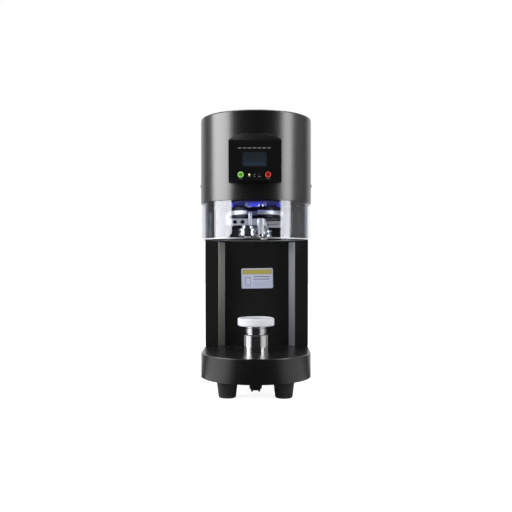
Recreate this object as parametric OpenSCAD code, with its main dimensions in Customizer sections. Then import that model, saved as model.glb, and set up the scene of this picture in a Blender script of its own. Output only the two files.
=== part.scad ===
// Bench can seamer: a D-shaped base and head joined by a rear column. The can stands on a white
// lift table, and a turning turret under the head closes its seam with two grooved rollers.

/* [Housing] */
// Radius of the rounded front of the base and head, which is half of their width
outer_r = 105; // [100:1:120]
// Radius of the two upright rear corners
corner_r = 25; // [18:1:28]
// Height of the rubber feet, which is the height of the base above the bench
foot_h = 31; // [24:1:40]
// Height of the base housing
base_h = 46; // [45:1:60]
// Height of the column between the base and the head
column_h = 283; // [260:1:330]
// Height of the head housing without its lid
head_h = 154; // [142:1:180]
// Height of the lid on top of the head
lid_h = 6; // [5:0.5:9]
// Radius of the base's rounded upper edge
base_edge_r = 1.8; // [1:0.1:2.4]
// Radius of the lid's rounded upper edge
lid_edge_r = 4; // [3:0.5:4.5]
// Sheet thickness of the base housing
base_wall = 2.5; // [2:0.5:3.5]
// Sheet thickness of the column
column_wall = 2; // [1.5:0.5:3]
// Sheet thickness of the head housing
head_wall = 1.5; // [1:0.25:2]
// Thickness of the steel plate that closes the base from below
base_plate_t = 3; // [2:0.5:4]
// Thickness of the steel plate that carries the seaming works in the head
head_plate_t = 8; // [6:0.5:10]
// Height of the head plate above the lower edge of the head
head_plate_rise = 30; // [30:1:34]
// Clearance between a plate and the housing around it
plate_gap = 0.3; // [0.2:0.05:0.5]

/* [Feet] */
// Upper radius of a foot
foot_top_r = 19.4; // [17:0.2:21]
// Lower radius of a foot
foot_low_r = 16.2; // [13:0.2:17]
// Half of the spacing of the front feet
front_foot_x = 52; // [45:1:56]
// Distance of the front feet in front of the can axis
front_foot_y = 55; // [50:1:60]
// Half of the spacing of the rear feet
rear_foot_x = 62; // [50:1:66]
// Distance of the rear feet behind the can axis
rear_foot_y = 105; // [98:1:110]

/* [Column] */
// Distance of the recessed panel behind the round front's radius
bay_gap = 8; // [2:0.5:12]
// Depth of the column behind the recessed panel
column_depth = 32; // [28:1:40]
// Depth of the bay from the column's wings to the recessed panel
bay_depth = 23; // [18:0.5:25]
// Width of the front face of one wing, with its trim
wing_w = 28.3; // [26:0.1:32]
// Amount by which each side of the bay slants inwards
bay_slant = 10.5; // [8:0.1:14]
// Thickness of the two metal trims on the bay's slanted sides
trim_t = 1.5; // [1:0.25:2]
// Radius of the two steel posts that carry the head
post_r = 7; // [5:0.5:7.5]
// Width of the rear cover
cover_w = 120; // [100:2:130]
// Height of the rear cover
cover_h = 236; // [190:2:240]
// Thickness of the rear cover
cover_t = 1.5; // [1:0.25:2]
// Width of one louvre slot
louvre_w = 44; // [30:1:46]
// Height of one louvre slot
louvre_h = 3; // [2:0.5:4]
// Number of louvre rows
louvre_rows = 10; // [4:1:12]

/* [Lift] */
// Outer radius of the fixed lift sleeve
sleeve_r = 23.5; // [22.5:0.5:25]
// Height of the sleeve above the base
sleeve_h = 33; // [28:1:38]
// Radius of the lift ram
ram_r = 20; // [19:0.25:20.5]
// Height of the ram above the sleeve when the table is down
neck_h = 17; // [14:1:22]
// Radius of the can table
table_r = 35; // [32:1:40]
// Thickness of the can table
table_t = 15; // [12:1:18]
// Upward travel of the can table
lift_travel = 25; // [15:1:27]
// Rise of the lift screw in one turn
screw_lead = 8; // [5:1:10]
// Radius of the lift screw's thread
screw_r = 6; // [5:0.25:7]

/* [Gears] */
// Module of all gear teeth
gear_module = 1.5; // [1.4:0.05:1.5]
// Teeth of the gear on the lift screw
lift_gear_teeth = 48; // [46:1:49]
// Teeth of the lift motor's pinion
lift_pinion_teeth = 16; // [15:1:17]
// Teeth of the gear that turns the turret
turret_gear_teeth = 60; // [58:2:62]
// Teeth of the seaming motor's pinion
motor_pinion_teeth = 20; // [18:1:21]
// Width of all gears
gear_w = 7; // [5:0.5:8]
// Gap left between meshing tooth flanks on each side
flank_gap = 0.12; // [0.1:0.01:0.2]

/* [Turret] */
// Radius of the turret's plates
turret_r = 52; // [50:0.5:56]
// Radius of the hollow spindle
spindle_r = 14; // [13:0.25:15]
// Thickness of the lower and upper turret plates
outer_plate_t = 7; // [5:0.5:8]
// Thickness of the bright plate between them
middle_plate_t = 8; // [6:0.5:9]
// Length of the posts above the upper plate
post_rise = 8.5; // [8.5:0.5:12]
// Sideways distance of a lever pivot from the can axis
pivot_x = 9.5; // [9.5:0.1:10.5]
// Distance of a lever pivot in front of the can axis
pivot_y = 43; // [42.5:0.1:43.5]
// Radius of a pivot post
pivot_r = 4.5; // [4:0.1:5]
// Sideways distance of a roller axis from the can axis
roller_x = 15; // [14.6:0.1:15.4]
// Distance of an open roller's axis in front of the can axis
roller_y = 42; // [42:0.1:42.4]
// Radius of a seaming roller
roller_r = 16.5; // [16:0.1:16.8]
// Height of a seaming roller
roller_h = 20; // [18:0.5:20]
// Height of the lever blocks
lever_h = 12; // [11:0.5:13]
// Angle through which a lever closes
lever_swing = 6.5; // [5:0.1:6.6]
// Travel of the feed cone that closes the levers
cone_travel = 6; // [5:0.1:6.2]
// Radius of the seaming chuck's lip
chuck_lip_r = 26; // [25:0.1:26.2]

/* [Guard] */
// Length of the clear guard below the head
guard_drop = 69; // [68:1:80]
// Wall of the clear guard
guard_wall = 4; // [3:0.5:5]

/* [Controls] */
// Half of the control box's width
box_half_w = 46.4; // [43:0.1:50]
// Height of the control box's front face
box_face_h = 72; // [70:1:78]
// Rise of the control box's sloping top above its front face
box_slope_h = 18; // [14:1:22]
// Distance of the front face in front of the round head
box_reach = 14; // [13.5:0.5:18]
// Height of the control box above the lower edge of the head
box_rise = 30; // [20:1:36]
// Sideways place of the display and buttons on the front face
controls_x = -1; // [-8:0.5:8]
// Width of the display
display_w = 42.5; // [36:0.5:50]
// Height of the display
display_h = 26; // [20:0.5:30]
// Radius of the two push buttons
button_r = 5.2; // [4:0.1:6]
// Spacing of the two push buttons
button_pitch = 48; // [42:1:54]
// Travel of a push button
button_travel = 1.5; // [1:0.1:1.8]

/* [Hidden] */
$fn = 64;
fit = 0.05;          // radial clearance of a shaft or plug in its hole
free = 0.3;          // clearance between pieces that pass without touching
eps = 0.01;          // overlap that joins the parts of one solid

// Floor plan of the column and its bay
bay_y = outer_r + bay_gap;
wing_y = bay_y - bay_depth;
back_y = bay_y + column_depth;
bay_front_x = outer_r - wing_w;
bay_rear_x = bay_front_x - bay_slant;

// Heights
base_z = foot_h;
base_top = base_z + base_h;
column_top = base_top + column_h;
head_top = column_top + head_h;
plate_top = base_z + base_plate_t;
sleeve_top = base_top + sleeve_h;
table_z = sleeve_top + neck_h;
head_plate_z = column_top + head_plate_rise;
head_plate_top = head_plate_z + head_plate_t;
guard_z = column_top - guard_drop;

// The finished part stands with the middle of its footprint at the origin
inlet_flange_t = 2.5;
button_proud = 2;
front_reach = outer_r + box_reach + button_proud;
rear_reach = back_y + inlet_flange_t;
axis_y = (front_reach - rear_reach) / 2;

function reversed(list) = [for (i = [len(list) - 1:-1:0]) list[i]];
function polar(r, a) = [r * cos(a), r * sin(a)];
function turned(p, a) = [p[0] * cos(a) - p[1] * sin(a), p[0] * sin(a) + p[1] * cos(a)];

// Everything below is placed from the can axis
module at_axis() { translate([0, axis_y, 0]) children(); }
module tube(r, bore, h) {
    difference() {
        cylinder(r = r, h = h);
        translate([0, 0, -1]) cylinder(r = bore, h = h + 2);
    }
}
module both_sides() { children(); mirror([1, 0, 0]) children(); }
module turned_pair() { children(); rotate([0, 0, 180]) children(); }
module box_from(low, high) { translate(low) cube(high - low); }

// Housing profile: points [inset from the outer surface, height], with an optional round upper edge
edge_steps = 5;
function wall_profile(z0, z1, inset = 0, edge = 0) = edge == 0
    ? [[inset, z0], [inset, z1]]
    : concat([[inset, z0]], [for (i = [0:edge_steps]) let (a = 90 * i / edge_steps)
        [inset + edge * (1 - cos(a)), z1 - edge * (1 - sin(a))]]);

// D-shaped solid: half round front, flat sides, round rear corners and flat back
module d_solid(profile) {
    z0 = profile[0][1];
    z1 = profile[len(profile) - 1][1];
    side_y = back_y - corner_r;
    rear_x = outer_r - corner_r;
    half = [for (p = profile) [outer_r - p[0], p[1]]];
    rotate_extrude(angle = 180, start = 180) polygon(concat([[0, z0]], half, [[0, z1]]));
    translate([0, side_y, 0]) rotate([90, 0, 0]) linear_extrude(side_y)
        polygon(concat(half, [for (p = reversed(half)) [-p[0], p[1]]]));
    translate([-rear_x, 0, 0]) rotate([90, 0, 90]) linear_extrude(2 * rear_x)
        polygon(concat([[side_y, z0]], [for (p = profile) [back_y - p[0], p[1]]], [[side_y, z1]]));
    for (s = [0, 1])
        translate([s == 0 ? rear_x : -rear_x, side_y, 0]) rotate_extrude(angle = 90, start = 90 * s)
            polygon(concat([[0, z0]], [for (p = profile) [corner_r - p[0], p[1]]], [[0, z1]]));
}
module d_plate(z0, z1, inset = 0, edge = 0) { d_solid(wall_profile(z0, z1, inset, edge)); }

// ---------- base ----------
sleeve_flange_r = sleeve_r + 3.5;
post_x = outer_r - 17;
post_y = back_y - 27;
post_hole_r = post_r + free;
post_stud_r = 4;
post_nut_r = 6.5;
post_nut_h = 5;
post_head_t = 2;
inlet_x = 40;
inlet_z = base_z + base_h / 2;
inlet_w = 27;
inlet_h = 19.5;
inlet_depth = 20;
switch_w = 20;
switch_h = 24;
switch_depth = 14;
module base_housing() {
    color("#1a1b1d") at_axis() difference() {
        d_plate(base_z, base_top, 0, base_edge_r);
        d_plate(base_z - 1, base_top - base_wall, base_wall);
        cylinder(r = sleeve_r + fit, h = base_top + 1);
        both_sides() translate([post_x, post_y, base_z]) cylinder(r = post_hole_r, h = base_h + 1);
        translate([-inlet_x, back_y, inlet_z])
            cube([inlet_w + 2 * fit, 4 * base_wall, inlet_h + 2 * fit], center = true);
        translate([inlet_x, back_y, inlet_z])
            cube([switch_w + 2 * fit, 4 * base_wall, switch_h + 2 * fit], center = true);
    }
}

// Centre distances and places of the two gear trains
lift_pitch = gear_module * (lift_gear_teeth + lift_pinion_teeth) / 2;
turret_pitch = gear_module * (turret_gear_teeth + motor_pinion_teeth) / 2;
lift_motor_y = -lift_pitch;
main_motor_y = turret_pitch;
cap_r = 11.8;
foot_places = [[front_foot_x, -front_foot_y], [rear_foot_x, rear_foot_y]];
foot_screw_r = 3;
bearing_h = 6;
lift_bearing_r = 16;
seat_wall = 3;
supply_pillar_h = 3;
module base_plate() {
    color("#6f7276") at_axis() difference() {
        union() {
            d_plate(base_z, plate_top, base_wall + plate_gap);
            translate([0, 0, base_z]) cylinder(r = lift_bearing_r + seat_wall,
                h = base_plate_t + bearing_h - 1);
        }
        translate([0, 0, plate_top]) cylinder(r = lift_bearing_r + fit, h = bearing_h);
        translate([0, 0, base_z - 1]) cylinder(r = journal_r + free, h = base_plate_t + 2);
        translate([0, lift_motor_y, base_z - 1]) cylinder(r = cap_r + fit, h = base_plate_t + 2);
        both_sides() for (p = foot_places)
            translate([p[0], p[1], base_z - 1]) cylinder(r = foot_screw_r + fit, h = base_plate_t + 2);
        both_sides() translate([post_x, post_y, base_z - 1])
            cylinder(r = post_stud_r + fit, h = base_plate_t + 2);
    }
}

foot_edge = 3;
foot_pocket_r = 8;
foot_pocket_h = foot_h - 9;
module foot() {
    difference() {
        rotate_extrude() polygon(concat([[0, 0]],
            [for (i = [0:4]) let (a = -90 + 22.5 * i)
                [foot_low_r - foot_edge + foot_edge * cos(a), foot_edge + foot_edge * sin(a)]],
            [[foot_top_r, foot_h - 2], [foot_top_r, foot_h], [0, foot_h]]));
        translate([0, 0, -1]) cylinder(r = foot_pocket_r, h = foot_pocket_h + 1);
        cylinder(r = foot_screw_r + fit, h = foot_h + 1);
    }
}
module rubber_feet() {
    color("#151515") at_axis() both_sides() for (p = foot_places) translate([p[0], p[1], 0]) foot();
}
module foot_screws() {
    nut_r = 5.5;
    nut_h = 3;
    washer_r = 6.5;
    washer_h = 4;
    color("#8b8d90") at_axis() both_sides() for (p = foot_places) translate([p[0], p[1], 0]) {
        translate([0, 0, foot_pocket_h - washer_h]) cylinder(r = washer_r, h = washer_h);
        translate([0, 0, foot_pocket_h - 1])
            cylinder(r = foot_screw_r, h = plate_top + nut_h - foot_pocket_h + 2);
        translate([0, 0, plate_top]) cylinder(r = nut_r, h = nut_h, $fn = 6);
    }
}
// Steel posts from the base plate up to the head plate, inside the wings of the column
module support_posts() {
    color("#7d8085") at_axis() both_sides() translate([post_x, post_y, 0]) {
        translate([0, 0, plate_top]) cylinder(r = post_r, h = head_plate_z - plate_top);
        translate([0, 0, base_z - post_head_t])
            cylinder(r = post_stud_r, h = base_plate_t + post_head_t + 1);
        translate([0, 0, base_z - post_head_t]) cylinder(r = post_nut_r, h = post_head_t);
        translate([0, 0, head_plate_z - 1]) cylinder(r = post_stud_r, h = head_plate_t + 1);
        translate([0, 0, head_plate_top]) cylinder(r = post_nut_r, h = post_nut_h);
    }
}

// ---------- can lift ----------
gear_gap = 1;
lift_gear_z = plate_top + bearing_h + gear_gap;
journal_r = screw_r + 1;
ram_z = lift_gear_z + gear_w + 2;
ram_wall = 3;
ram_cap_t = 9;
neck_gap = 0.5;
neck_groove = 2.2;
neck_groove_h = 2.6;
neck_collar = 5.5;
sleeve_z = ram_z + 1;
sleeve_flange_t = 3;
wiper_h = 4;
module lift_sleeve() {
    color("#d9dadc") at_axis() difference() {
        union() {
            translate([0, 0, sleeve_z]) cylinder(r = sleeve_r, h = sleeve_top - sleeve_z - 1);
            translate([0, 0, sleeve_top - 1]) cylinder(r1 = sleeve_r, r2 = sleeve_r - 1, h = 1);
            translate([0, 0, base_top - base_wall - sleeve_flange_t])
                cylinder(r = sleeve_flange_r, h = sleeve_flange_t);
        }
        translate([0, 0, sleeve_z - 1]) cylinder(r = ram_r + fit, h = sleeve_top - sleeve_z + 2);
        translate([0, 0, sleeve_top - wiper_h]) cylinder(r = sleeve_r - 1.6, h = wiper_h + 1);
    }
}
module wiper_seal() {
    color("#111111") at_axis() translate([0, 0, sleeve_top - wiper_h])
        tube(sleeve_r - 1.6 - fit, ram_r + fit, wiper_h - 0.4);
}
module lift_bearing() {
    groove_r = 1.4;
    mid_r = (lift_bearing_r + journal_r) / 2;
    color("#b9bcc0") at_axis() translate([0, 0, plate_top]) difference() {
        tube(lift_bearing_r, journal_r + fit, bearing_h);
        translate([0, 0, bearing_h]) rotate_extrude() translate([mid_r, 0]) circle(r = groove_r, $fn = 24);
    }
}
lift_motor_r = 20;
lift_motor_z = lift_gear_z + gear_w + 1.5;
lift_motor_h = base_top - base_wall - lift_motor_z - 4;
pinion_shaft_r = 4;
shaft_grip = 12;
motor_pillar_r = 2.8;
motor_pillar_ring = gear_module * (lift_pinion_teeth + 2) / 2 + motor_pillar_r + 0.8;
module lift_motor() {
    color("#55585c") at_axis() translate([0, lift_motor_y, 0]) difference() {
        union() {
            translate([0, 0, lift_motor_z]) cylinder(r = lift_motor_r, h = lift_motor_h - 1);
            translate([0, 0, lift_motor_z + lift_motor_h - 1 - eps])
                cylinder(r1 = lift_motor_r, r2 = lift_motor_r - 1, h = 1);
            for (a = [200, 270, 340]) rotate([0, 0, a]) translate([motor_pillar_ring, 0, plate_top])
                cylinder(r = motor_pillar_r, h = lift_motor_z - plate_top + 1);
        }
        translate([0, 0, lift_motor_z - 1]) cylinder(r = pinion_shaft_r + fit, h = shaft_grip + 1);
    }
}
// Lower bearing cap of the lift pinion, which shows under the base
cap_drop = 14.3;
cap_floor = 6;
cap_screw_x = 6.6;
cap_screw_r = 1.5;
cap_taper = 3.7;
module lift_motor_cap() {
    color("#1c1d1f") at_axis() translate([0, lift_motor_y, 0]) difference() {
        union() {
            translate([0, 0, base_z - cap_drop]) cylinder(r = cap_r, h = cap_drop + base_plate_t);
            translate([0, 0, base_z - cap_drop - cap_taper])
                cylinder(r1 = cap_r - 2.85, r2 = cap_r, h = cap_taper);
            translate([0, 0, plate_top]) cylinder(r = motor_pillar_ring - motor_pillar_r - free, h = 2);
        }
        translate([0, 0, base_z - cap_drop + cap_floor])
            cylinder(r = pinion_shaft_r + fit, h = 3 * cap_drop);
        for (s = [-1, 1]) translate([s * cap_screw_x, 0, 0]) cylinder(r = cap_screw_r + fit, h = base_z);
    }
}
module cap_screws() {
    head_h = 3.5;
    color("#8b8d90") at_axis() translate([0, lift_motor_y, base_z - cap_drop - cap_taper]) for (s = [-1, 1])
        translate([s * cap_screw_x, 0, 0]) {
            translate([0, 0, -head_h]) cylinder(r = 1.9, h = head_h);
            translate([0, 0, -eps]) cylinder(r = cap_screw_r, h = cap_drop + cap_taper);
        }
}
module power_supply() {
    case_half_w = 48;
    case_front_y = 56;
    case_depth = 58;
    case_h = 30;
    pillar_inset = 8;
    pillar_r = 3;
    color("#a6a8aa") at_axis() {
        box_from([-case_half_w, case_front_y, plate_top + supply_pillar_h],
            [case_half_w, case_front_y + case_depth, plate_top + supply_pillar_h + case_h]);
        both_sides() for (y = [case_front_y + pillar_inset, case_front_y + case_depth - pillar_inset])
            translate([case_half_w - pillar_inset, y, plate_top])
                cylinder(r = pillar_r, h = supply_pillar_h + 1);
    }
}
module power_inlet() {
    wall = 1.3;
    flange = [inlet_w + 7, inlet_h + 6];
    color("#141414") at_axis() translate([-inlet_x, back_y, inlet_z]) {
        difference() {
            union() {
                translate([-flange[0] / 2, 0, -flange[1] / 2]) cube([flange[0], inlet_flange_t, flange[1]]);
                translate([-inlet_w / 2, -inlet_depth, -inlet_h / 2])
                    cube([inlet_w, inlet_depth + 1, inlet_h]);
            }
            translate([-inlet_w / 2 + wall, 3 - inlet_depth, -inlet_h / 2 + wall])
                cube([inlet_w - 2 * wall, inlet_depth + inlet_flange_t, inlet_h - 2 * wall]);
        }
        for (p = [[-7, -2], [0, 2], [7, -2]]) translate([p[0] - 1, 3 - inlet_depth - eps, p[1] - 2])
            cube([2, inlet_depth - 5, 4]);
    }
}
rocker_half = 9;
rocker_y = back_y - 3;
rocker_tilt = 8;
module switch_frame() {
    wall = 2;
    flange_t = 1.5;
    color("#141414") at_axis() translate([inlet_x, back_y, inlet_z]) difference() {
        union() {
            translate([-switch_w / 2 - 2, 0, -switch_h / 2 - 2])
                cube([switch_w + 4, flange_t, switch_h + 4]);
            translate([-switch_w / 2, -switch_depth, -switch_h / 2])
                cube([switch_w, switch_depth + 1, switch_h]);
        }
        translate([-switch_w / 2 + wall, wall - switch_depth, -switch_h / 2 + wall])
            cube([switch_w - 2 * wall, switch_depth + flange_t + 1, switch_h - 2 * wall]);
        rotate([0, 90, 0]) translate([0, rocker_y - back_y, -switch_w / 2 + 0.6])
            cylinder(r = 1.5 + fit, h = switch_w - 1.2);
    }
}
module power_rocker() {
    color("#a01712") at_axis() translate([inlet_x, rocker_y, inlet_z]) rotate([-rocker_tilt, 0, 0]) {
        translate([-switch_w / 2 + 2 + free, 0, 0]) rotate([90, 0, 90])
            linear_extrude(switch_w - 4 - 2 * free)
            polygon([[-4, -3], [1, -rocker_half], [4, -rocker_half + 0.6], [2.4, 0],
                [4, rocker_half - 0.6], [1, rocker_half], [-4, 3]]);
        translate([-switch_w / 2 + 0.8, 0, 0]) rotate([0, 90, 0]) cylinder(r = 1.5, h = switch_w - 1.6);
    }
}

// Gear blank with involute flanks, one tooth centred on +Y
pressure_angle = 20;
function roll(r, base) = let (t = sqrt(max(0, pow(r / base, 2) - 1))) t * 180 / PI - atan(t);
module gear(teeth, bore, h) {
    pitch = gear_module * teeth / 2;
    base = pitch * cos(pressure_angle);
    tip = pitch + gear_module;
    root = pitch - 1.25 * gear_module;
    half_tooth = 90 / teeth - flank_gap / pitch * 180 / PI + roll(pitch, base);
    flank = [for (r = [max(root + 0.2, base), pitch, tip]) [r, half_tooth - roll(r, base)]];
    root_half = flank[0][1] + 0.35 * (180 / teeth - flank[0][1]);
    outline = [for (k = [0:teeth - 1]) let (c = 90 - 360 * k / teeth)
        for (p = concat([[root, root_half]], flank, [for (f = reversed(flank)) [f[0], -f[1]]],
            [[root, -root_half]])) polar(p[0], c + p[1])];
    difference() {
        linear_extrude(h) polygon(outline);
        translate([0, 0, -1]) cylinder(r = bore, h = h + 2);
    }
}
module lift_screw() {
    screw_top = table_z - ram_cap_t - 4;
    color("#c4c6c8") at_axis() {
        translate([0, 0, base_z - 1]) cylinder(r = journal_r, h = lift_gear_z + gear_w - base_z + 1);
        translate([0, 0, base_z]) cylinder(r = screw_r, h = screw_top - base_z - 1);
        translate([0, 0, screw_top - 1 - eps]) cylinder(r1 = screw_r, r2 = screw_r - 1, h = 1);
    }
}
module lift_gear() {
    hole_r = 6;
    color("#caa24a") at_axis() translate([0, 0, lift_gear_z]) difference() {
        rotate([0, 0, 180]) gear(lift_gear_teeth, journal_r + fit, gear_w);
        for (a = [45:90:315]) rotate([0, 0, a]) translate([gear_module * lift_gear_teeth / 3.4, 0, -1])
            cylinder(r = hole_r, h = gear_w + 2);
    }
}
module lift_pinion() {
    color("#b8bbbe") at_axis() translate([0, lift_motor_y, 0]) {
        translate([0, 0, lift_gear_z]) rotate([0, 0, 180 / lift_pinion_teeth])
            gear(lift_pinion_teeth, pinion_shaft_r - eps, gear_w);
        translate([0, 0, base_z - cap_drop + cap_floor + free])
            cylinder(r = pinion_shaft_r, h = lift_motor_z + shaft_grip - 1 - base_z + cap_drop - cap_floor);
    }
}
module lift_ram() {
    color("#e2e3e5") at_axis() difference() {
        translate([0, 0, ram_z]) cylinder(r = ram_r, h = table_z - ram_z);
        translate([0, 0, ram_z - 1]) cylinder(r = ram_r - ram_wall, h = table_z - ram_cap_t - ram_z + 1);
        translate([0, 0, sleeve_top + neck_gap]) tube(ram_r + 1, ram_r - neck_groove, neck_groove_h);
        translate([0, 0, table_z - neck_collar]) rotate_extrude()
            polygon([[ram_r - neck_groove, 0], [ram_r + 1, 0], [ram_r + 1, neck_groove], [ram_r,
                neck_groove],
                [ram_r - neck_groove, 1]]);
        translate([0, 0, table_z - ram_cap_t - 1]) cylinder(r = table_screw_r + fit, h = ram_cap_t + 2);
    }
}
module lift_nut() {
    nut_h = 14;
    color("#caa24a") at_axis() translate([0, 0, ram_z])
        tube(ram_r - ram_wall - fit, screw_r + fit, nut_h);
}
table_edge = 2.5;
table_recess = 1.5;
table_screw_r = 4;
table_head_r = 7;
table_sink = 5;
module can_table() {
    rim = 4;
    color("#f4f4f2") at_axis() difference() {
        translate([0, 0, table_z]) rotate_extrude() polygon(concat([[0, 0]],
            [for (i = [0:4]) let (a = -90 + 22.5 * i)
                [table_r - table_edge + table_edge * cos(a), table_edge + table_edge * sin(a)]],
            [for (i = [0:4]) let (a = 22.5 * i)
                [table_r - table_edge + table_edge * cos(a), table_t - table_edge + table_edge * sin(a)]],
            [[table_r - rim, table_t], [table_r - rim - 0.5, table_t - table_recess],
             [0, table_t - table_recess]]));
        translate([0, 0, table_z - 1]) cylinder(r = table_screw_r + fit, h = table_t + 2);
        translate([0, 0, table_z + table_t - table_recess - table_sink])
            cylinder(r = table_head_r + 0.2, h = table_sink + 1);
    }
}
module table_screw() {
    top = table_z + table_t - table_recess;
    color("#8b8d90") at_axis() difference() {
        union() {
            translate([0, 0, top - table_sink]) cylinder(r = table_head_r, h = table_sink - 0.6);
            translate([0, 0, table_z - ram_cap_t + 1])
                cylinder(r = table_screw_r, h = top - table_z + ram_cap_t - table_sink);
        }
        translate([0, 0, top - 3.5]) cylinder(r = 3.4, h = 4, $fn = 6);
    }
}

// ---------- column ----------
trim_shift = trim_t * norm([bay_front_x - bay_rear_x, bay_y - wing_y]) / (bay_y - wing_y);
column_front_x = bay_front_x + trim_shift;
column_rear_x = bay_rear_x + trim_shift;
// Floor plan of the space that the column fills behind the bay, moved inwards by the inset
module column_plan(inset) {
    slant = [column_rear_x - column_front_x, bay_y - wing_y] / norm([column_rear_x - column_front_x,
        bay_y - wing_y]);
    shift = inset * (1 + slant[0]) / slant[1];
    side = [[column_rear_x + shift, bay_y + inset], [column_front_x + shift, wing_y + inset],
        [outer_r + 1, wing_y + inset], [outer_r + 1, back_y + 1]];
    polygon(concat(side, [for (p = reversed(side)) [-p[0], p[1]]]));
}
module column_solid(z0, z1, inset) {
    intersection() {
        d_plate(z0, z1, inset);
        translate([0, 0, z0 - 1]) linear_extrude(z1 - z0 + 2) column_plan(inset);
    }
}
cover_z = base_top + (column_h - cover_h) / 2;
cover_lap = 7;
cover_screw_r = 1.9;
cover_screw_places = [for (x = [-1, 1]) for (k = [0:2])
    [x * (cover_w / 2 - cover_lap / 2), cover_z + cover_lap / 2 + k * (cover_h - cover_lap) / 2]];
module column_shell() {
    color("#1b1c1e") at_axis() difference() {
        column_solid(base_top, column_top, 0);
        column_solid(base_top - 2, column_top + 2, column_wall);
        box_from([-cover_w / 2 + cover_lap, back_y - 2 * column_wall, cover_z + cover_lap],
            [cover_w / 2 - cover_lap, back_y + 1, cover_z + cover_h - cover_lap]);
        for (p = cover_screw_places) translate([p[0], back_y + 1, p[1]]) rotate([90, 0, 0])
            cylinder(r = cover_screw_r + fit, h = column_wall + 2);
    }
}
module corner_trim() {
    color("#77777c") at_axis() translate([0, 0, base_top]) linear_extrude(column_h)
        polygon([[bay_front_x, wing_y], [column_front_x, wing_y], [column_rear_x, bay_y], [bay_rear_x,
            bay_y]]);
}
module corner_trim_left() { mirror([1, 0, 0]) corner_trim(); }
module corner_trim_right() { corner_trim(); }
louvre_pitch = (cover_h - 6 * cover_lap) / (louvre_rows - 0.5);
module rear_cover() {
    color("#202124") at_axis() difference() {
        translate([-cover_w / 2, back_y, cover_z]) cube([cover_w, cover_t, cover_h]);
        for (s = [-1, 1]) for (k = [0:louvre_rows - 1])
            translate([s * cover_w / 4.6 - louvre_w / 2, back_y - 1,
                cover_z + 3.2 * cover_lap + k * louvre_pitch])
                cube([louvre_w, cover_t + 2, louvre_h]);
        for (p = cover_screw_places) translate([p[0], back_y + cover_t + 1, p[1]]) rotate([90, 0, 0])
            cylinder(r = cover_screw_r + fit, h = cover_t + 2);
    }
}
module rear_cover_screws() {
    head_t = 0.9;
    color("#2b2c2e") at_axis() for (p = cover_screw_places)
        translate([p[0], back_y + cover_t + head_t, p[1]]) rotate([90, 0, 0]) {
            cylinder(r1 = 2.6, r2 = 3.2, h = head_t);
            cylinder(r = cover_screw_r, h = head_t + cover_t + column_wall + 1);
        }
}

// ---------- head ----------
// The turret hangs from a flange just inside the head, and its gear lies on that flange
flange_t = 4;
flange_z = column_top + 0.5;
main_gear_z = flange_z + flange_t + 1;
head_in_r = outer_r - head_wall;
guard_r = head_in_r - free;
guard_in_r = guard_r - guard_wall;
guard_lap = 12;
bearing_seat_drop = 12;
spindle_bearing_r = 23;
head_screw_z = head_plate_z + head_plate_t / 2;
head_screw_r = 2;
head_screw_ys = [0, 95];
guard_screw_z = column_top + guard_lap / 2;
module head_plate() {
    seat_r = spindle_bearing_r + 5;
    color("#7d8085") at_axis() difference() {
        union() {
            d_plate(head_plate_z, head_plate_top, head_wall + plate_gap);
            translate([0, 0, head_plate_top - head_plate_t - bearing_seat_drop])
                cylinder(r = seat_r, h = bearing_seat_drop + 1);
        }
        translate([0, 0, head_plate_z - bearing_seat_drop + 2])
            cylinder(r = spindle_bearing_r + fit, h = bearing_seat_drop + head_plate_t);
        translate([0, 0, head_plate_z - bearing_seat_drop - 1]) cylinder(r = spindle_r + 4, h = 4);
        translate([0, main_motor_y, head_plate_z - 1])
            cylinder(r = motor_shaft_r + 2, h = head_plate_t + 2);
        both_sides() translate([post_x, post_y, head_plate_z - 1])
            cylinder(r = post_stud_r + fit, h = head_plate_t + 2);
        both_sides() for (y = head_screw_ys) translate([outer_r, y, head_screw_z]) rotate([0, -90, 0])
            cylinder(r = head_screw_r + fit, h = 13);
    }
}
wire_hole = 20;
module head_shell() {
    color("#1a1b1d") at_axis() difference() {
        d_plate(column_top, head_top);
        d_plate(column_top + head_wall, head_top + 1, head_wall);
        translate([0, 0, column_top - 1]) cylinder(r = head_in_r, h = 2 * head_wall + 1);
        both_sides() translate([post_x, post_y, column_top - 1])
            cylinder(r = post_hole_r, h = 2 * head_wall + 1);
        both_sides() for (y = head_screw_ys) translate([outer_r + 1, y, head_screw_z]) rotate([0, -90, 0])
            cylinder(r = head_screw_r + fit, h = head_wall + 2);
        translate([0, -outer_r, box_z + box_face_h / 2])
            cube([wire_hole, wire_hole + 4, wire_hole], center = true);
    }
}
lid_screw_places = [[outer_r - 29, back_y - 57], [outer_r - 45, 65 - outer_r]];
lid_screw_r = 2;
lid_screw_sink = 2;
lid_screw_len = 9;
module head_lid() {
    spigot_h = 6;
    color("#1c1d1f") at_axis() difference() {
        union() {
            d_plate(head_top, head_top + lid_h, 0, lid_edge_r);
            d_plate(head_top - spigot_h, head_top + 1, head_wall + free);
        }
        d_plate(head_top - spigot_h - 1, head_top + lid_h - 3, head_wall + free + 2.5);
        both_sides() for (p = lid_screw_places) translate([p[0], p[1], head_top + lid_h]) {
            translate([0, 0, -lid_h]) cylinder(r = lid_screw_r + fit, h = lid_h + 1);
            translate([0, 0, -lid_screw_sink])
                cylinder(r1 = lid_screw_r + fit, r2 = lid_screw_r + lid_screw_sink + fit,
                h = lid_screw_sink);
        }
    }
}
module lid_screws() {
    color("#2b2c2e") at_axis() both_sides() for (p = lid_screw_places)
        translate([p[0], p[1], head_top + lid_h]) {
            translate([0, 0, -lid_screw_sink])
                cylinder(r1 = lid_screw_r, r2 = lid_screw_r + lid_screw_sink, h = lid_screw_sink);
            translate([0, 0, -lid_screw_len])
                cylinder(r = lid_screw_r, h = lid_screw_len - lid_screw_sink + eps);
        }
}
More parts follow.
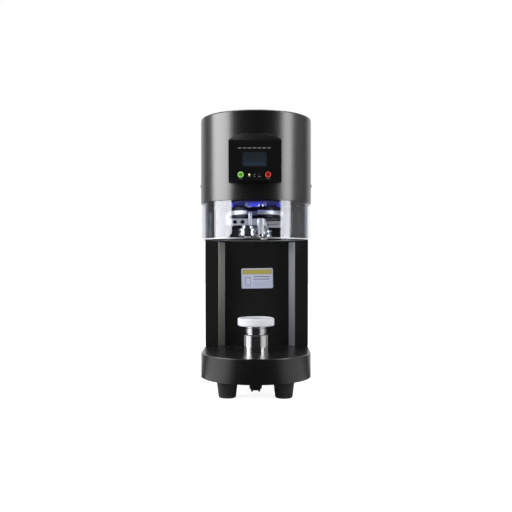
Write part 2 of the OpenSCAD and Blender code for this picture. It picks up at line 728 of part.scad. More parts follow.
module housing_screws() {
    head_t = 1.2;
    color("#2b2c2e") at_axis() both_sides() for (y = head_screw_ys)
        translate([outer_r + head_t, y, head_screw_z]) rotate([0, -90, 0]) {
            cylinder(r1 = 2.8, r2 = 3.8, h = head_t);
            cylinder(r = head_screw_r, h = head_t + 11);
        }
    color("#2b2c2e") at_axis() both_sides() translate([box_half_w + 1, box_screw_y, box_screw_z])
        rotate([0, -90, 0]) {
        cylinder(r1 = 2, r2 = 2.8, h = 1);
        cylinder(r = box_screw_r, h = box_wall + 3);
    }
}
module guard() {
    color("#dfe6f2", 0.35) at_axis() translate([0, 0, guard_z])
        tube(guard_r, guard_in_r, guard_drop + guard_lap);
}
ring_wall = 5;
module guard_ring() {
    color("#202124") at_axis() translate([0, 0, column_top + 2])
        tube(guard_in_r - fit, guard_in_r - ring_wall, head_plate_rise - 2);
}
// Light strip on the front half of the ring, out of sight behind the head's rim
module led_ring() {
    led_h = 4;
    led_t = 3;
    color("#4a4cff") at_axis() translate([0, 0, column_top + 3]) rotate_extrude(angle = 180, start = 180)
        translate([guard_in_r - ring_wall - fit - led_t, 0]) square([led_t, led_h]);
}
module spindle_bearing() {
    mid_r = (spindle_bearing_r + spindle_r) / 2;
    bearing_w = head_plate_t + bearing_seat_drop - 2;
    color("#c4c6c8") at_axis() translate([0, 0, head_plate_z - bearing_seat_drop + 2]) difference() {
        tube(spindle_bearing_r, spindle_r + fit, bearing_w);
        for (z = [0, bearing_w]) translate([0, 0, z]) rotate_extrude() translate([mid_r, 0])
            circle(r = 2, $fn = 24);
    }
}
motor_shaft_r = 5;
module main_motor() {
    gearbox = 78;
    gearbox_h = 34;
    can_r = 36;
    can_h = 70;
    color("#505357") at_axis() translate([0, main_motor_y, head_plate_top]) difference() {
        union() {
            translate([-gearbox / 2, -gearbox / 2, 0]) cube([gearbox, gearbox, gearbox_h]);
            translate([0, 0, gearbox_h - eps]) cylinder(r = can_r, h = can_h - 4);
            translate([0, 0, gearbox_h + can_h - 4 - 2 * eps]) cylinder(r1 = can_r, r2 = can_r - 4, h = 4);
        }
        translate([0, 0, -1]) cylinder(r = motor_shaft_r + fit, h = shaft_grip + 1);
    }
}
module motor_pinion() {
    color("#b8bbbe") at_axis() translate([0, main_motor_y, 0]) {
        translate([0, 0, main_gear_z]) rotate([0, 0, 180 / motor_pinion_teeth + 180])
            gear(motor_pinion_teeth, motor_shaft_r - eps, gear_w);
        translate([0, 0, main_gear_z])
            cylinder(r = motor_shaft_r, h = head_plate_top + shaft_grip - 1 - main_gear_z);
    }
}

// ---------- seaming works ----------
upper_z = flange_z - post_rise - outer_plate_t;
middle_z = upper_z - middle_plate_t;
lower_z = middle_z - outer_plate_t;
lever_gap = 1;
lever_z = lower_z - lever_gap - lever_h;
roller_z = lever_z - 1 - roller_h;
chuck_z = roller_z + 4;
chuck_lip_z = chuck_z + 3;
chuck_lip_t = 3;
chuck_top = chuck_lip_z + chuck_lip_t + 3;
chuck_plug_r = chuck_lip_r - 2.5;
chuck_plug_taper = 0.8;
chuck_hub_r = chuck_lip_r - 6;
chuck_dish_r = 15;
chuck_bore_depth = 4;
chuck_shaft_r = 8;
spindle_bore_r = chuck_shaft_r + 0.5;
spindle_low_z = chuck_top + 2;
spindle_top = head_plate_top + 6;
bridge_z = spindle_top + 1;
bridge_t = 9;
module chuck_bridge() {
    leg_x = 33;
    leg = 5;
    color("#8a8d91") at_axis() difference() {
        union() {
            translate([0, 0, bridge_z + bridge_t / 2]) cube([2 * leg_x, 18, bridge_t], center = true);
            both_sides() box_from([leg_x - 2 * leg, -9, head_plate_top], [leg_x, 9, bridge_z + 1]);
        }
        translate([0, 0, bridge_z - 1]) cylinder(r = chuck_shaft_r + fit, h = bridge_t + 2);
    }
}
module chuck_shaft() {
    nut_r = 12;
    shaft_end = 8;
    color("#b4b7ba") at_axis() {
        translate([0, 0, chuck_top - chuck_bore_depth])
            cylinder(r = chuck_shaft_r, h = bridge_z + bridge_t + shaft_end - chuck_top + chuck_bore_depth);
        translate([0, 0, bridge_z + bridge_t]) cylinder(r = nut_r, h = 6, $fn = 6);
    }
}
module seaming_chuck() {
    color("#cfd1d3") at_axis() difference() {
        union() {
            translate([0, 0, chuck_z])
                cylinder(r1 = chuck_plug_r - chuck_plug_taper, r2 = chuck_plug_r,
                    h = chuck_lip_z - chuck_z + eps);
            translate([0, 0, chuck_lip_z]) cylinder(r = chuck_lip_r, h = chuck_lip_t);
            translate([0, 0, chuck_lip_z + chuck_lip_t - eps])
                cylinder(r = chuck_hub_r, h = chuck_top - chuck_lip_z - chuck_lip_t + eps);
        }
        translate([0, 0, chuck_top - chuck_bore_depth])
            cylinder(r = chuck_shaft_r + fit, h = chuck_bore_depth + 1);
        translate([0, 0, chuck_z - 1]) cylinder(r = chuck_dish_r, h = 3);
    }
}
module turret_spindle() {
    nut_r = spindle_r + 6;
    color("#6a6cc4") at_axis() difference() {
        union() {
            translate([0, 0, spindle_low_z]) cylinder(r = spindle_r, h = spindle_top - spindle_low_z);
            translate([0, 0, head_plate_top + free]) cylinder(r = nut_r, h = 5);
        }
        translate([0, 0, spindle_low_z - 1])
            cylinder(r = spindle_bore_r, h = spindle_top - spindle_low_z + 2);
    }
}
// Slots and holes that all the turret's plates share
hub_r = 24;
slot_w = 19;
slot_x = 6;
rod_x = 17.5;
rod_r = 2.5;
turret_post_r = 3.5;
turret_post_ring = turret_r - 6;
turret_post_angles = [20, 160, 200, 340];
module plate_cuts(h, with_pivots) {
    translate([0, 0, -1]) cylinder(r = spindle_r + fit, h = h + 2);
    both_sides() translate([rod_x, 0, -1]) cylinder(r = rod_r + free, h = h + 2);
    for (a = turret_post_angles) rotate([0, 0, a]) translate([turret_post_ring, 0, -1])
        cylinder(r = turret_post_r + fit, h = h + 2);
    if (with_pivots) turned_pair() translate([pivot_x, -pivot_y, -1])
        cylinder(r = pivot_r + fit, h = h + 2);
}
module bow_tie(r, h, with_pivots = true) {
    difference() {
        cylinder(r = r, h = h);
        turned_pair() translate([-slot_x - slot_w / 2, -r - 1, -1]) cube([slot_w, r + 1 - hub_r, h + 2]);
        plate_cuts(h, with_pivots);
    }
}
module turret_flange() {
    color("#33353a") at_axis() translate([0, 0, flange_z]) difference() {
        cylinder(r = turret_r, h = flange_t);
        translate([0, 0, -1]) cylinder(r = spindle_r + fit, h = flange_t + 2);
    }
}
module main_gear() {
    color("#caa24a") at_axis() translate([0, 0, flange_z + flange_t]) {
        tube(gear_module * turret_gear_teeth / 2 - 8, spindle_r + fit,
            main_gear_z - flange_z - flange_t + eps);
        translate([0, 0, main_gear_z - flange_z - flange_t])
            gear(turret_gear_teeth, spindle_r + fit, gear_w);
    }
}
module turret_posts() {
    color("#8f90d8") at_axis() for (a = turret_post_angles) rotate([0, 0, a])
        translate([turret_post_ring, 0, middle_z]) {
            cylinder(r = turret_post_r, h = flange_z - middle_z);
            translate([0, 0, upper_z + outer_plate_t - middle_z])
                cylinder(r = turret_post_r + 1, h = post_rise);
        }
}
// Bright spacers that hold the upper plate under the flange, close around the spindle
spacer_r = 3;
spacer_at = [17.2, 20.5];
module spacer_posts() {
    color("#e6e7e9") at_axis() both_sides() for (s = [-1, 1])
        translate([spacer_at[0], s * spacer_at[1], upper_z + outer_plate_t])
            cylinder(r = spacer_r, h = post_rise);
}
module turret_upper_plate() {
    color("#26272b") at_axis() translate([0, 0, upper_z]) bow_tie(turret_r, outer_plate_t);
}
module turret_middle_plate() {
    color("#dcdde0") at_axis() translate([0, 0, middle_z]) bow_tie(turret_r, middle_plate_t);
}
module turret_lower_plate() {
    screw_hole = [34, 24];
    color("#26272b") at_axis() translate([0, 0, lower_z]) difference() {
        bow_tie(turret_r - 2, outer_plate_t - eps);
        turned_pair() for (x = screw_hole) translate([x, -10, -1]) cylinder(r = 2.5, h = outer_plate_t + 2);
    }
}
// Each lever turns on a hard post that hangs through the plates and ends in a collar nut
collar_r = 6;
collar_h = 5;
pivot_low_z = roller_z;
module pivot_posts() {
    color("#e6e7e9") at_axis() turned_pair() translate([pivot_x, -pivot_y, 0]) {
        translate([0, 0, pivot_low_z]) cylinder(r = pivot_r, h = upper_z + outer_plate_t + 3 - pivot_low_z);
        translate([0, 0, pivot_low_z]) cylinder(r = collar_r, h = collar_h);
        translate([0, 0, upper_z + outer_plate_t]) cylinder(r = collar_r, h = 3);
    }
}
// Follower on each lever's inner arm, and the cone that spreads the two followers when it rises
follower_r = 5;
follower_h = 6;
follower_arm = [6, 20];
follower_at = [pivot_x, -pivot_y] + follower_arm;
follower_z = lever_z - 0.5;
open_reach = norm(follower_at);
closed_reach = norm([pivot_x, -pivot_y] + turned(follower_arm, -lever_swing));
cone_gap = 0.15;
cone_slope = (closed_reach - open_reach) / cone_travel;
cone_low_z = follower_z - cone_travel - 1;
cone_top_z = lever_z + lever_h - cone_travel;
module feed_cone() {
    shoulder_r = rod_x + rod_r + 0.5;
    touch_r = open_reach - follower_r - cone_gap;
    low_r = touch_r + cone_slope * cone_travel;
    ring_z = upper_z + outer_plate_t + 0.5;
    ring_t = post_rise - cone_travel - 1;
    color("#a9abb0") at_axis() difference() {
        union() {
            translate([0, 0, cone_low_z]) cylinder(r = low_r, h = 1);
            translate([0, 0, cone_low_z + 1 - eps])
                cylinder(r1 = low_r, r2 = touch_r - cone_slope * 5, h = cone_travel + 5);
            translate([0, 0, cone_low_z + 1]) cylinder(r = shoulder_r, h = cone_top_z - cone_low_z - 1);
            both_sides() translate([rod_x, 0, cone_top_z - 2])
                cylinder(r = rod_r, h = ring_z - cone_top_z + 3);
            translate([0, 0, ring_z]) cylinder(r = shoulder_r, h = ring_t);
        }
        translate([0, 0, cone_low_z - 1]) cylinder(r = spindle_r + fit, h = ring_z - cone_low_z + 5);
    }
}
// Lever drawn for the front of the turret: a hub with a sleeve that stands on the post's collar, a roller
// arm with a clamp block, a follower arm, and a guide pin that runs in the slot of the plates
arm_w = 15;
tail_x = 50;
roller_bolt_r = 4;
clamp_screw_xs = [24, 38];
lever_hub_r = 8.4;
lever_sleeve_r = 6.2;
arm_half_w = 4;
clamp_split = 1.2;
clamp_bore_r = 2;
waist_depth = 3;
guide_pin_r = 3.6;
guide_pin_x = 10.2;
bolt_head_drop = 2.5;
module lever() {
    clamp_y = -pivot_y - arm_w / 2;
    sleeve_low_z = pivot_low_z + collar_h + free;
    inner_t = lever_h - follower_h;
    waist_x = -guide_pin_x - guide_pin_r - 1;
    difference() {
        union() {
            translate([pivot_x, -pivot_y, lever_z]) cylinder(r = lever_hub_r, h = lever_h);
            translate([pivot_x, -pivot_y, sleeve_low_z])
                cylinder(r = lever_sleeve_r, h = lever_z - sleeve_low_z + 1);
            box_from([-tail_x, clamp_y, lever_z], [waist_x, clamp_y + arm_w, lever_z + lever_h]);
            box_from([waist_x - eps, clamp_y + waist_depth, lever_z], [pivot_x, clamp_y + arm_w,
                lever_z + lever_h]);
            translate([-guide_pin_x, clamp_y + guide_pin_r, lever_z])
                cylinder(r = guide_pin_r, h = middle_z - lever_z + middle_plate_t / 2);
            translate([pivot_x, -pivot_y, lever_z + follower_h])
                rotate([0, 0, atan2(follower_arm[1], follower_arm[0])])
                box_from([0, -arm_half_w, 0], [norm(follower_arm), arm_half_w, inner_t]);
            translate([follower_at[0], follower_at[1], lever_z + follower_h])
                cylinder(r = arm_half_w, h = inner_t);
            translate([follower_at[0], follower_at[1], follower_z])
                cylinder(r = follower_r, h = lever_z + follower_h - follower_z + eps);
        }
        translate([pivot_x, -pivot_y, sleeve_low_z - 1])
            cylinder(r = pivot_r + fit, h = lever_z + lever_h - sleeve_low_z + 2);
        translate([-roller_x, -roller_y, lever_z - 1]) cylinder(r = roller_bolt_r + fit, h = lever_h + 2);
        for (x = clamp_screw_xs) translate([-x, clamp_y + 4, lever_z + lever_h / 2]) rotate([90, 0, 0])
            cylinder(r = 3.4, h = 5);
        for (x = clamp_screw_xs) translate([-x, clamp_y + arm_w + 1, lever_z + lever_h / 2])
            rotate([90, 0, 0]) cylinder(r = clamp_bore_r, h = arm_w - 5);
        box_from([-tail_x - 1, clamp_y + 4.5, lever_z + (lever_h - clamp_split) / 2],
            [-roller_x - roller_bolt_r - 6, clamp_y + arm_w + 1, lever_z + (lever_h + clamp_split) / 2]);
    }
    for (x = clamp_screw_xs) translate([-x, clamp_y + 4 + eps, lever_z + lever_h / 2]) rotate([90, 0, 0])
        difference() {
            cylinder(r = 2.9, h = 3.4);
            translate([0, 0, 1.6]) cylinder(r = 1.6, h = 3, $fn = 6);
        }
    translate([-roller_x, -roller_y, 0]) {
        translate([0, 0, roller_z - bolt_head_drop])
            cylinder(r = roller_bolt_r, h = lever_z + lever_h - roller_z + bolt_head_drop - 1);
        translate([0, 0, roller_z - bolt_head_drop]) cylinder(r = 6.2, h = bolt_head_drop - free);
    }
}
module front_lever() { color("#e1e2e4") at_axis() lever(); }
module rear_lever() { color("#e1e2e4") at_axis() rotate([0, 0, 180]) lever(); }
// Roller on its bolt; the groove takes the chuck's lip and the can's seam
module roller(groove_depth) {
    groove_z = chuck_lip_z - roller_z - 1;
    groove_h = chuck_lip_t + 2;
    groove_side = 0.6;
    translate([-roller_x, -roller_y, roller_z]) difference() {
        rotate_extrude() polygon([[0, 0], [roller_r - 4, 0], [roller_r - 1.2, 1.2], [roller_r, 3],
            [roller_r, groove_z], [roller_r - groove_depth, groove_z + groove_side],
            [roller_r - groove_depth, groove_z + groove_h - groove_side], [roller_r, groove_z + groove_h],
            [roller_r, roller_h - 6.5], [roller_r - 1.5, roller_h - 5], [11, roller_h - 4],
            [11, roller_h - 0.5], [10.5, roller_h], [0, roller_h]]);
        translate([0, 0, -1]) cylinder(r = roller_bolt_r + fit, h = roller_h + 2);
    }
}
module first_roller() { color("#c9cbce") at_axis() roller(2); }
module second_roller() { color("#c9cbce") at_axis() rotate([0, 0, 180]) roller(1.9); }

// ---------- control box ----------
box_z = column_top + box_rise;
face_y = -outer_r - box_reach;
fascia_t = 2;
box_wall = 2.5;
box_screw_r = 1.5;
box_screw_y = face_y + 8;
box_screw_rise = 39;
box_screw_z = box_z + box_screw_rise;
box_corner = 7;
arch_sag = box_slope_h - 2;
arch_r = (pow(box_half_w, 2) + pow(arch_sag, 2)) / (2 * arch_sag);
// Rounded lower corner of the box and its fascia, on the +X side
module corner_round(y0, y1) {
    intersection() {
        translate([box_half_w - box_corner, y1, box_z + box_corner]) rotate([90, 0, 0])
            cylinder(r = box_corner, h = y1 - y0);
        box_from([box_half_w - box_corner - 0.5, y0 - 1, box_z - 1], [box_half_w + 1, y1 + 1,
            box_z + box_corner + 0.5]);
    }
}
module box_form() {
    arch_top = box_z + box_face_h + box_slope_h;
    difference() {
        intersection() {
            translate([-box_half_w, 0, 0]) rotate([90, 0, 90]) linear_extrude(2 * box_half_w)
                polygon([[face_y + fascia_t, box_z], [face_y + fascia_t, box_z + box_face_h],
                    [-outer_r, arch_top], [-outer_r + 30, arch_top], [-outer_r + 30, box_z]]);
            union() {
                box_from([-box_half_w, face_y - 1, box_z + box_corner], [box_half_w, 0,
                    arch_top - box_slope_h]);
                box_from([-box_half_w + box_corner, face_y - 1, box_z], [box_half_w - box_corner, 0,
                    box_z + 2 * box_corner]);
                both_sides() corner_round(face_y - 1, 0);
                translate([0, 0, arch_top - arch_r]) rotate([90, 0, 0])
                    cylinder(r = arch_r, h = -face_y + 2, $fn = 128);
            }
        }
        cylinder(r = outer_r, h = head_top);
    }
}
module control_box() {
    cavity_side = box_half_w - box_wall;
    color("#1d1e20") at_axis() difference() {
        box_form();
        difference() {
            box_from([-cavity_side, face_y, box_z + box_wall], [cavity_side, 0,
                box_z + box_face_h - box_wall]);
            cylinder(r = outer_r + 1.5, h = head_top);
        }
        translate([0, -outer_r, box_z + box_face_h / 2])
            cube([wire_hole - 4, 8, wire_hole - 4], center = true);
        both_sides() translate([box_half_w + 1, box_screw_y, box_screw_z]) rotate([0, -90, 0])
            cylinder(r = box_screw_r + fit, h = box_wall + 2);
    }
}
display_rise = 39.2;
button_rise = 12;
display_z = box_z + display_rise;
button_z = box_z + button_rise;
start_x = controls_x - button_pitch / 2;
stop_x = controls_x + button_pitch / 2;
lamp_xs = [-9, 0, 8];
lamp_r = 1.6;
module front_hole(x, z, r) {
    translate([x, face_y + fascia_t + 1, z]) rotate([90, 0, 0]) cylinder(r = r, h = fascia_t + 2);
}
module control_fascia() {
    color("#0e0f11") at_axis() difference() {
        union() {
            box_from([-box_half_w, face_y, box_z + box_corner], [box_half_w, face_y + fascia_t,
                box_z + box_face_h]);
            box_from([-box_half_w + box_corner, face_y, box_z],
                [box_half_w - box_corner, face_y + fascia_t, box_z + 2 * box_corner]);
            both_sides() corner_round(face_y, face_y + fascia_t);
        }
        translate([controls_x - display_w / 2, face_y - 1, display_z - display_h / 2])
            cube([display_w, fascia_t + 2, display_h]);
        for (x = [start_x, stop_x]) front_hole(x, button_z, button_r + fit);
        for (x = lamp_xs) front_hole(controls_x + x, button_z, lamp_r + fit);
    }
}
board_y = face_y + fascia_t + 6;
// Display board behind the fascia, with the display and the three lamps that reach through it
module display_board() {
    board_t = 1.6;
    color("#2c3a4a") at_axis() {
        box_from([-box_half_w + 6, board_y, box_z + 5], [box_half_w - 6, board_y + board_t,
            box_z + box_face_h - 6]);
        box_from([controls_x - display_w / 2 + fit, face_y + 0.8, display_z - display_h / 2 + fit],
            [controls_x + display_w / 2 - fit, board_y + eps, display_z + display_h / 2 - fit]);
        for (x = lamp_xs) translate([controls_x + x, board_y + eps, button_z]) rotate([90, 0, 0])
            cylinder(r = lamp_r, h = board_y - face_y + 0.3);
        both_sides() for (z = [box_z + 8, box_z + box_face_h - 9])
            translate([box_half_w - 9, board_y + eps, z]) rotate([90, 0, 0])
                cylinder(r = 2, h = board_y - face_y - fascia_t + eps);
    }
}
module push_button(x) {
    cap_t = button_proud + fascia_t;
    at_axis() translate([x, 0, button_z]) {
        translate([0, face_y + fascia_t, 0]) rotate([90, 0, 0])
            cylinder(r = button_r, h = cap_t - 0.8 + eps);
        translate([0, face_y - button_proud + 0.8, 0]) rotate([90, 0, 0])
            cylinder(r1 = button_r, r2 = button_r - 0.8, h = 0.8);
        translate([0, board_y - button_travel - free, 0]) rotate([90, 0, 0])
            cylinder(r = 2.2, h = board_y - button_travel - free - face_y - fascia_t + eps);
        translate([0, face_y + fascia_t + 1.3, 0]) rotate([90, 0, 0]) cylinder(r = button_r + 1, h = 1);
    }
}
module start_button() { color("#3f9c1c") push_button(start_x); }
module stop_button() { color("#a3120f") push_button(stop_x); }

base_housing();
base_plate();
rubber_feet();
foot_screws();
support_posts();
lift_sleeve();
wiper_seal();
lift_bearing();
lift_motor();
lift_motor_cap();
cap_screws();
power_supply();
power_inlet();
switch_frame();
power_rocker();
lift_screw();
lift_gear();
lift_pinion();
lift_ram();
lift_nut();
can_table();
table_screw();
column_shell();
corner_trim_left();
corner_trim_right();
rear_cover();
rear_cover_screws();
head_plate();
head_shell();
head_lid();
lid_screws();
housing_screws();
guard();
guard_ring();
led_ring();
spindle_bearing();
main_motor();
motor_pinion();
chuck_bridge();
chuck_shaft();
seaming_chuck();
turret_spindle();
turret_flange();
main_gear();
turret_posts();
turret_upper_plate();
turret_middle_plate();
turret_lower_plate();
pivot_posts();
spacer_posts();
feed_cone();
front_lever();
rear_lever();
first_roller();
second_roller();
control_box();
control_fascia();
start_button();
stop_button();
display_board();
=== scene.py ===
# Bench can seamer: the looks of each piece, in the order in which the machine is put together.
# Every size is in metres. The machine faces -Y and stands on the floor at z = 0.
import math
import bpy
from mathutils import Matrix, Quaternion, Vector


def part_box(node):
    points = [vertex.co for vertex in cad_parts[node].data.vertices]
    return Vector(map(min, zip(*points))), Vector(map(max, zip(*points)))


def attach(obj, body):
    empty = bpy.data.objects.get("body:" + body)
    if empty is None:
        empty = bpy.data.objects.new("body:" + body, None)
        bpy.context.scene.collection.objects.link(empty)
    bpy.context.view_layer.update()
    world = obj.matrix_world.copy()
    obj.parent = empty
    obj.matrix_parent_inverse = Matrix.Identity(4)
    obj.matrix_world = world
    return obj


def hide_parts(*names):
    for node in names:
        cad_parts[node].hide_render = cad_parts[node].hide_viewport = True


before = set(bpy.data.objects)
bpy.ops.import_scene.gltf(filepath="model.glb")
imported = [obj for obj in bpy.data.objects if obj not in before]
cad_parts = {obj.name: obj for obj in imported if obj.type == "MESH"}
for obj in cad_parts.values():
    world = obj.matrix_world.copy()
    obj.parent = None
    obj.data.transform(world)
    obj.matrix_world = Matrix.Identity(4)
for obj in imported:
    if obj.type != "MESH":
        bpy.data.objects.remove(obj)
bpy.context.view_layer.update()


# ---- Studio floor and air ----
# A pale painted floor that keeps the machine's shadow, under plain bright air.
# Both read as white to the camera and through the guard. Polished pieces mirror a room in both,
# dark ahead and white behind, and on the floor painted pools of light to the left and right.
class Amount:
    """A number that varies over a surface, for use in arithmetic"""

    def __init__(self, tree, socket):
        self.tree = tree
        self.socket = socket

    def math(self, operation, *others, swapped=False):
        node = self.tree.nodes.new("ShaderNodeMath")
        node.operation = operation
        terms = (*others, self) if swapped else (self, *others)
        for socket, term in zip(node.inputs, terms):
            fill(self.tree, socket, term)
        return Amount(self.tree, node.outputs[0])

    def __add__(self, other):
        return self.math("ADD", other)

    def __radd__(self, other):
        return self.math("ADD", other)

    def __sub__(self, other):
        return self.math("SUBTRACT", other)

    def __rsub__(self, other):
        return self.math("SUBTRACT", other, swapped=True)

    def __mul__(self, other):
        return self.math("MULTIPLY", other)

    def __rmul__(self, other):
        return self.math("MULTIPLY", other)

    def __pow__(self, other):
        return self.math("POWER", other)

    def __abs__(self):
        return self.math("ABSOLUTE")

    def __lt__(self, other):
        return self.math("LESS_THAN", other)

    def __gt__(self, other):
        return self.math("GREATER_THAN", other)

    def __mod__(self, other):
        return self.math("FLOORED_MODULO", other)

    def at_most(self, other):
        return self.math("MINIMUM", other)

    def at_least(self, other):
        return self.math("MAXIMUM", other)

    def sine(self):
        return self.math("SINE")

    def angle_to(self, other):
        return self.math("ARCTAN2", other)


def fill(tree, socket, term):
    """Links a varying term to a socket, or sets a plain one on it"""
    if isinstance(term, Amount):
        tree.links.new(term.socket, socket)
    elif socket.type == "RGBA" and len(term) == 3:
        socket.default_value = (*term, 1.0)
    else:
        socket.default_value = term


class Finish:
    """The nodes of one material, or of the air"""

    def __init__(self, owner):
        owner.use_nodes = True
        self.owner = owner
        self.tree = owner.node_tree
        self.tree.nodes.clear()

    def node(self, kind, settings=None, out=0, **sockets):
        """Adds a node and fills its sockets, which go by name or, as i0, i1 and on, by number"""
        node = self.tree.nodes.new("ShaderNode" + kind)
        for name, value in (settings or {}).items():
            setattr(node, name, value)
        for name, term in sockets.items():
            key = int(name[1:]) if name[0] == "i" and name[1:].isdigit() else name.replace("_", " ")
            fill(self.tree, node.inputs[key], term)
        return Amount(self.tree, node.outputs[out])

    def place(self):
        return self.node("TexCoord", out="Object")

    def axes(self, vector=None):
        vector = vector or self.place()
        return [self.node("SeparateXYZ", Vector=vector, out=axis) for axis in "XYZ"]

    def noise(self, scale, detail=2.0, vector=None):
        return self.node("TexNoise", Vector=vector or self.place(), Scale=scale, Detail=detail)

    def stretched(self, scale):
        return self.node("Mapping", Vector=self.place(), Scale=scale)

    def colour(self, amount, low, high):
        return self.node("Mix", {"data_type": "RGBA"}, out=2, i0=amount, i6=low, i7=high)

    def spread(self, amount, low, high, to_low=0.0, to_high=1.0):
        return self.node("MapRange", Value=amount, From_Min=low, From_Max=high,
                         To_Min=to_low, To_Max=to_high)

    def bump(self, height, strength, distance):
        return self.node("Bump", Height=height, Strength=strength, Distance=distance)

    def paint(self, **sockets):
        return self.output(self.node("BsdfPrincipled", **sockets))

    def output(self, shader, kind="OutputMaterial"):
        last = self.tree.nodes.new("ShaderNode" + kind)
        self.tree.links.new(shader.socket, last.inputs["Surface"])
        return self.owner


def rays(finish):
    """One number each for rays from the camera, mirrored rays, and rays through clear plastic"""
    return [finish.node("LightPath", out=name) for name in
            ("Is Camera Ray", "Is Glossy Ray", "Is Transmission Ray")]


def sweep(finish, turn, start, end, low=0.0, high=1.0):
    """Goes from one level to another between two angles, in degrees"""
    return finish.spread(turn, math.radians(start), math.radians(end), low, high)


def mirrored_room(finish, x, y, side, right_side):
    """What a mirrored ray finds: dark ahead, dim sides, the right one paler, and white behind"""
    turn = abs(x).angle_to(0 - y)
    sides = sweep(finish, turn, 45, 75, front_gloom, side)
    right = sweep(finish, turn, 68, 80, 0.0, right_side)
    right = right - sweep(finish, turn, 105, 122, 0.0, right_side)
    behind = sweep(finish, turn, 126, 142, 0.0, 1 - side)
    return turn, sides + right * (x > 0) + behind


floor_half = 6.0
floor_grey = (0.82, 0.82, 0.82)
shadow_lift = 0.82
shadow_reach = 0.25
white_reach = 0.7
front_gloom = 0.02
left_painted_pool = 1.0
right_painted_pool = 0.5
bpy.ops.object.select_all(action="DESELECT")
bpy.ops.mesh.primitive_plane_add(size=2 * floor_half)
floor = bpy.context.object
floor.name = "studio_floor"
finish = Finish(bpy.data.materials.new("floor_paint"))
seen, mirrored, through = rays(finish)
x, y, z = finish.axes()
from_machine = (x ** 2 + y ** 2) ** 0.5
lift = finish.spread(from_machine, shadow_reach, white_reach, shadow_lift, 1.0)
pale = finish.node("BsdfDiffuse", Color=floor_grey)
floor_glow_and_rim_highlight = finish.node("Emission", Strength=seen.at_least(through) * lift)
lit = finish.node("AddShader", i0=pale, i1=floor_glow_and_rim_highlight)
turn, room = mirrored_room(finish, x, y, 0.10, 0.02)
# Painted pools of light on the floor, left and right, which only mirrored rays see.
painted_pool = sweep(finish, turn, 38, 56) * sweep(finish, turn, 112, 98)
painted_pool = painted_pool * ((x > 0) * right_painted_pool + (x < 0) * left_painted_pool)
reflected = finish.node("Emission", Strength=room + painted_pool)
floor_paint = finish.output(finish.node("MixShader", i0=mirrored, i1=lit, i2=reflected))
floor.data.materials.append(floor_paint)

air = bpy.data.worlds.new("studio_air")
bpy.context.scene.world = air
finish = Finish(air)
seen, mirrored, through = rays(finish)
x, y, z = finish.axes(finish.node("TexCoord", out="Generated"))
soft_level = 0.45
turn, room = mirrored_room(finish, x, y, 0.22, 0.26)
white = seen.at_least(through)
level = white + (1 - white) * (mirrored * room + (1 - mirrored) * soft_level)
finish.output(finish.node("Background", Color=(1.0, 1.0, 1.0), Strength=level), "OutputWorld")

# ---- Studio lamps and camera ----
# Two tall softboxes lean a little, left and right in front of the machine, and a third hangs above.
# The camera looks level at the can axis from above the height of the lift table, a little from
# the right. A lamp has its place, width and height, watts, aim, and lean in degrees.
lamp_z = 0.84
lamps = {
    "left_softbox": ((-1.080, -0.311, lamp_z), (0.89, 1.12), 22.4, (0.0, -0.013, lamp_z), 8),
    "right_softbox": ((1.068, -0.490, lamp_z), (0.47, 1.12), 10.0, (0.0, -0.013, lamp_z), -6),
    "top_softbox": ((0.0, 0.25, 1.75), (1.2, 0.6), 15.0, (0.0, 0.1, 0.3), 0),
}
for name, (spot, (width, height), power, target, lean) in lamps.items():
    bpy.ops.object.light_add(type="AREA", location=spot)
    lamp = bpy.context.object
    lamp.name = name
    lamp.data.shape = "RECTANGLE"
    lamp.data.size = width
    lamp.data.size_y = height
    lamp.data.energy = power
    aim = (Vector(target) - Vector(spot)).to_track_quat("-Z", "Y")
    lamp.rotation_euler = (aim @ Quaternion((0.0, 0.0, 1.0), math.radians(lean))).to_euler()

camera_turn = math.radians(0.85)
camera_reach = 1.346
camera_height = 0.2534
low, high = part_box("lift_sleeve")
axis_y = (low[1] + high[1]) / 2
camera_x = camera_reach * math.sin(camera_turn)
camera_y = axis_y - camera_reach * math.cos(camera_turn)
bpy.ops.object.camera_add(location=(camera_x, camera_y, camera_height),
                          rotation=(math.pi / 2, 0.0, camera_turn))
camera = bpy.context.object
camera.data.lens = 49.36
camera.data.sensor_width = 36.0
camera.data.shift_y = 0.007
bpy.context.scene.camera = camera
bpy.context.scene.view_settings.view_transform = "Standard"


# ---- Base, head and lid ----
# Bent and welded steel sheet, powder coated in satin black.
# The coat has the fine orange peel that powder keeps when it melts.
def dress(material, *nodes):
    """Gives CAD nodes their finish"""
    for name in nodes:
        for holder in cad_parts[name].material_slots:
            holder.material = material
        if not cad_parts[name].material_slots:
            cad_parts[name].data.materials.append(material)


def powder_coat(name, colour, rough, shine, peel=0.00002):
    """Powder coat or moulded plastic: an even colour with slight clouds and a fine grain"""
    finish = Finish(bpy.data.materials.new(name))
    grain = finish.noise(900.0, 3.0)
    cloud = finish.noise(14.0, 3.0)
    tone = finish.spread(cloud, 0.3, 0.7, 0.85, 1.15)
    return finish.paint(
        Base_Color=finish.colour(tone * 0.5, [c * 0.7 for c in colour], [c * 1.3 for c in colour]),
        Roughness=rough + (cloud - 0.5) * 0.05 + (grain - 0.5) * 0.03,
        Specular_IOR_Level=shine,
        Normal=finish.bump(grain, 0.35, peel))


housing_black = powder_coat("housing_black", (0.0042, 0.0042, 0.0043), 0.28, 0.9)
dress(housing_black, "base_housing", "head_shell", "head_lid")

# ---- Column ----
# A bent steel channel in the same black but a finer coat, with a louvred cover screwed on behind.
# Two strips of brushed aluminium line the slanted sides of the bay. Behind the guard they carry
# painted shade in black, and they are darker towards their lower ends. The left strip is tinted
# warm and the right cool, as painted light.
brush_scale = 1500.0
darken_from = 0.26
darken_to = 0.09
darkest_low = 0.62
low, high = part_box("guard")
# Painted shade on the trims from just below the guard's lower edge upwards.
painted_shade_z = low[2] - 0.002
column_black = powder_coat("column_black", (0.0082, 0.0083, 0.0082), 0.34, 0.35)
dress(column_black, "column_shell", "rear_cover")


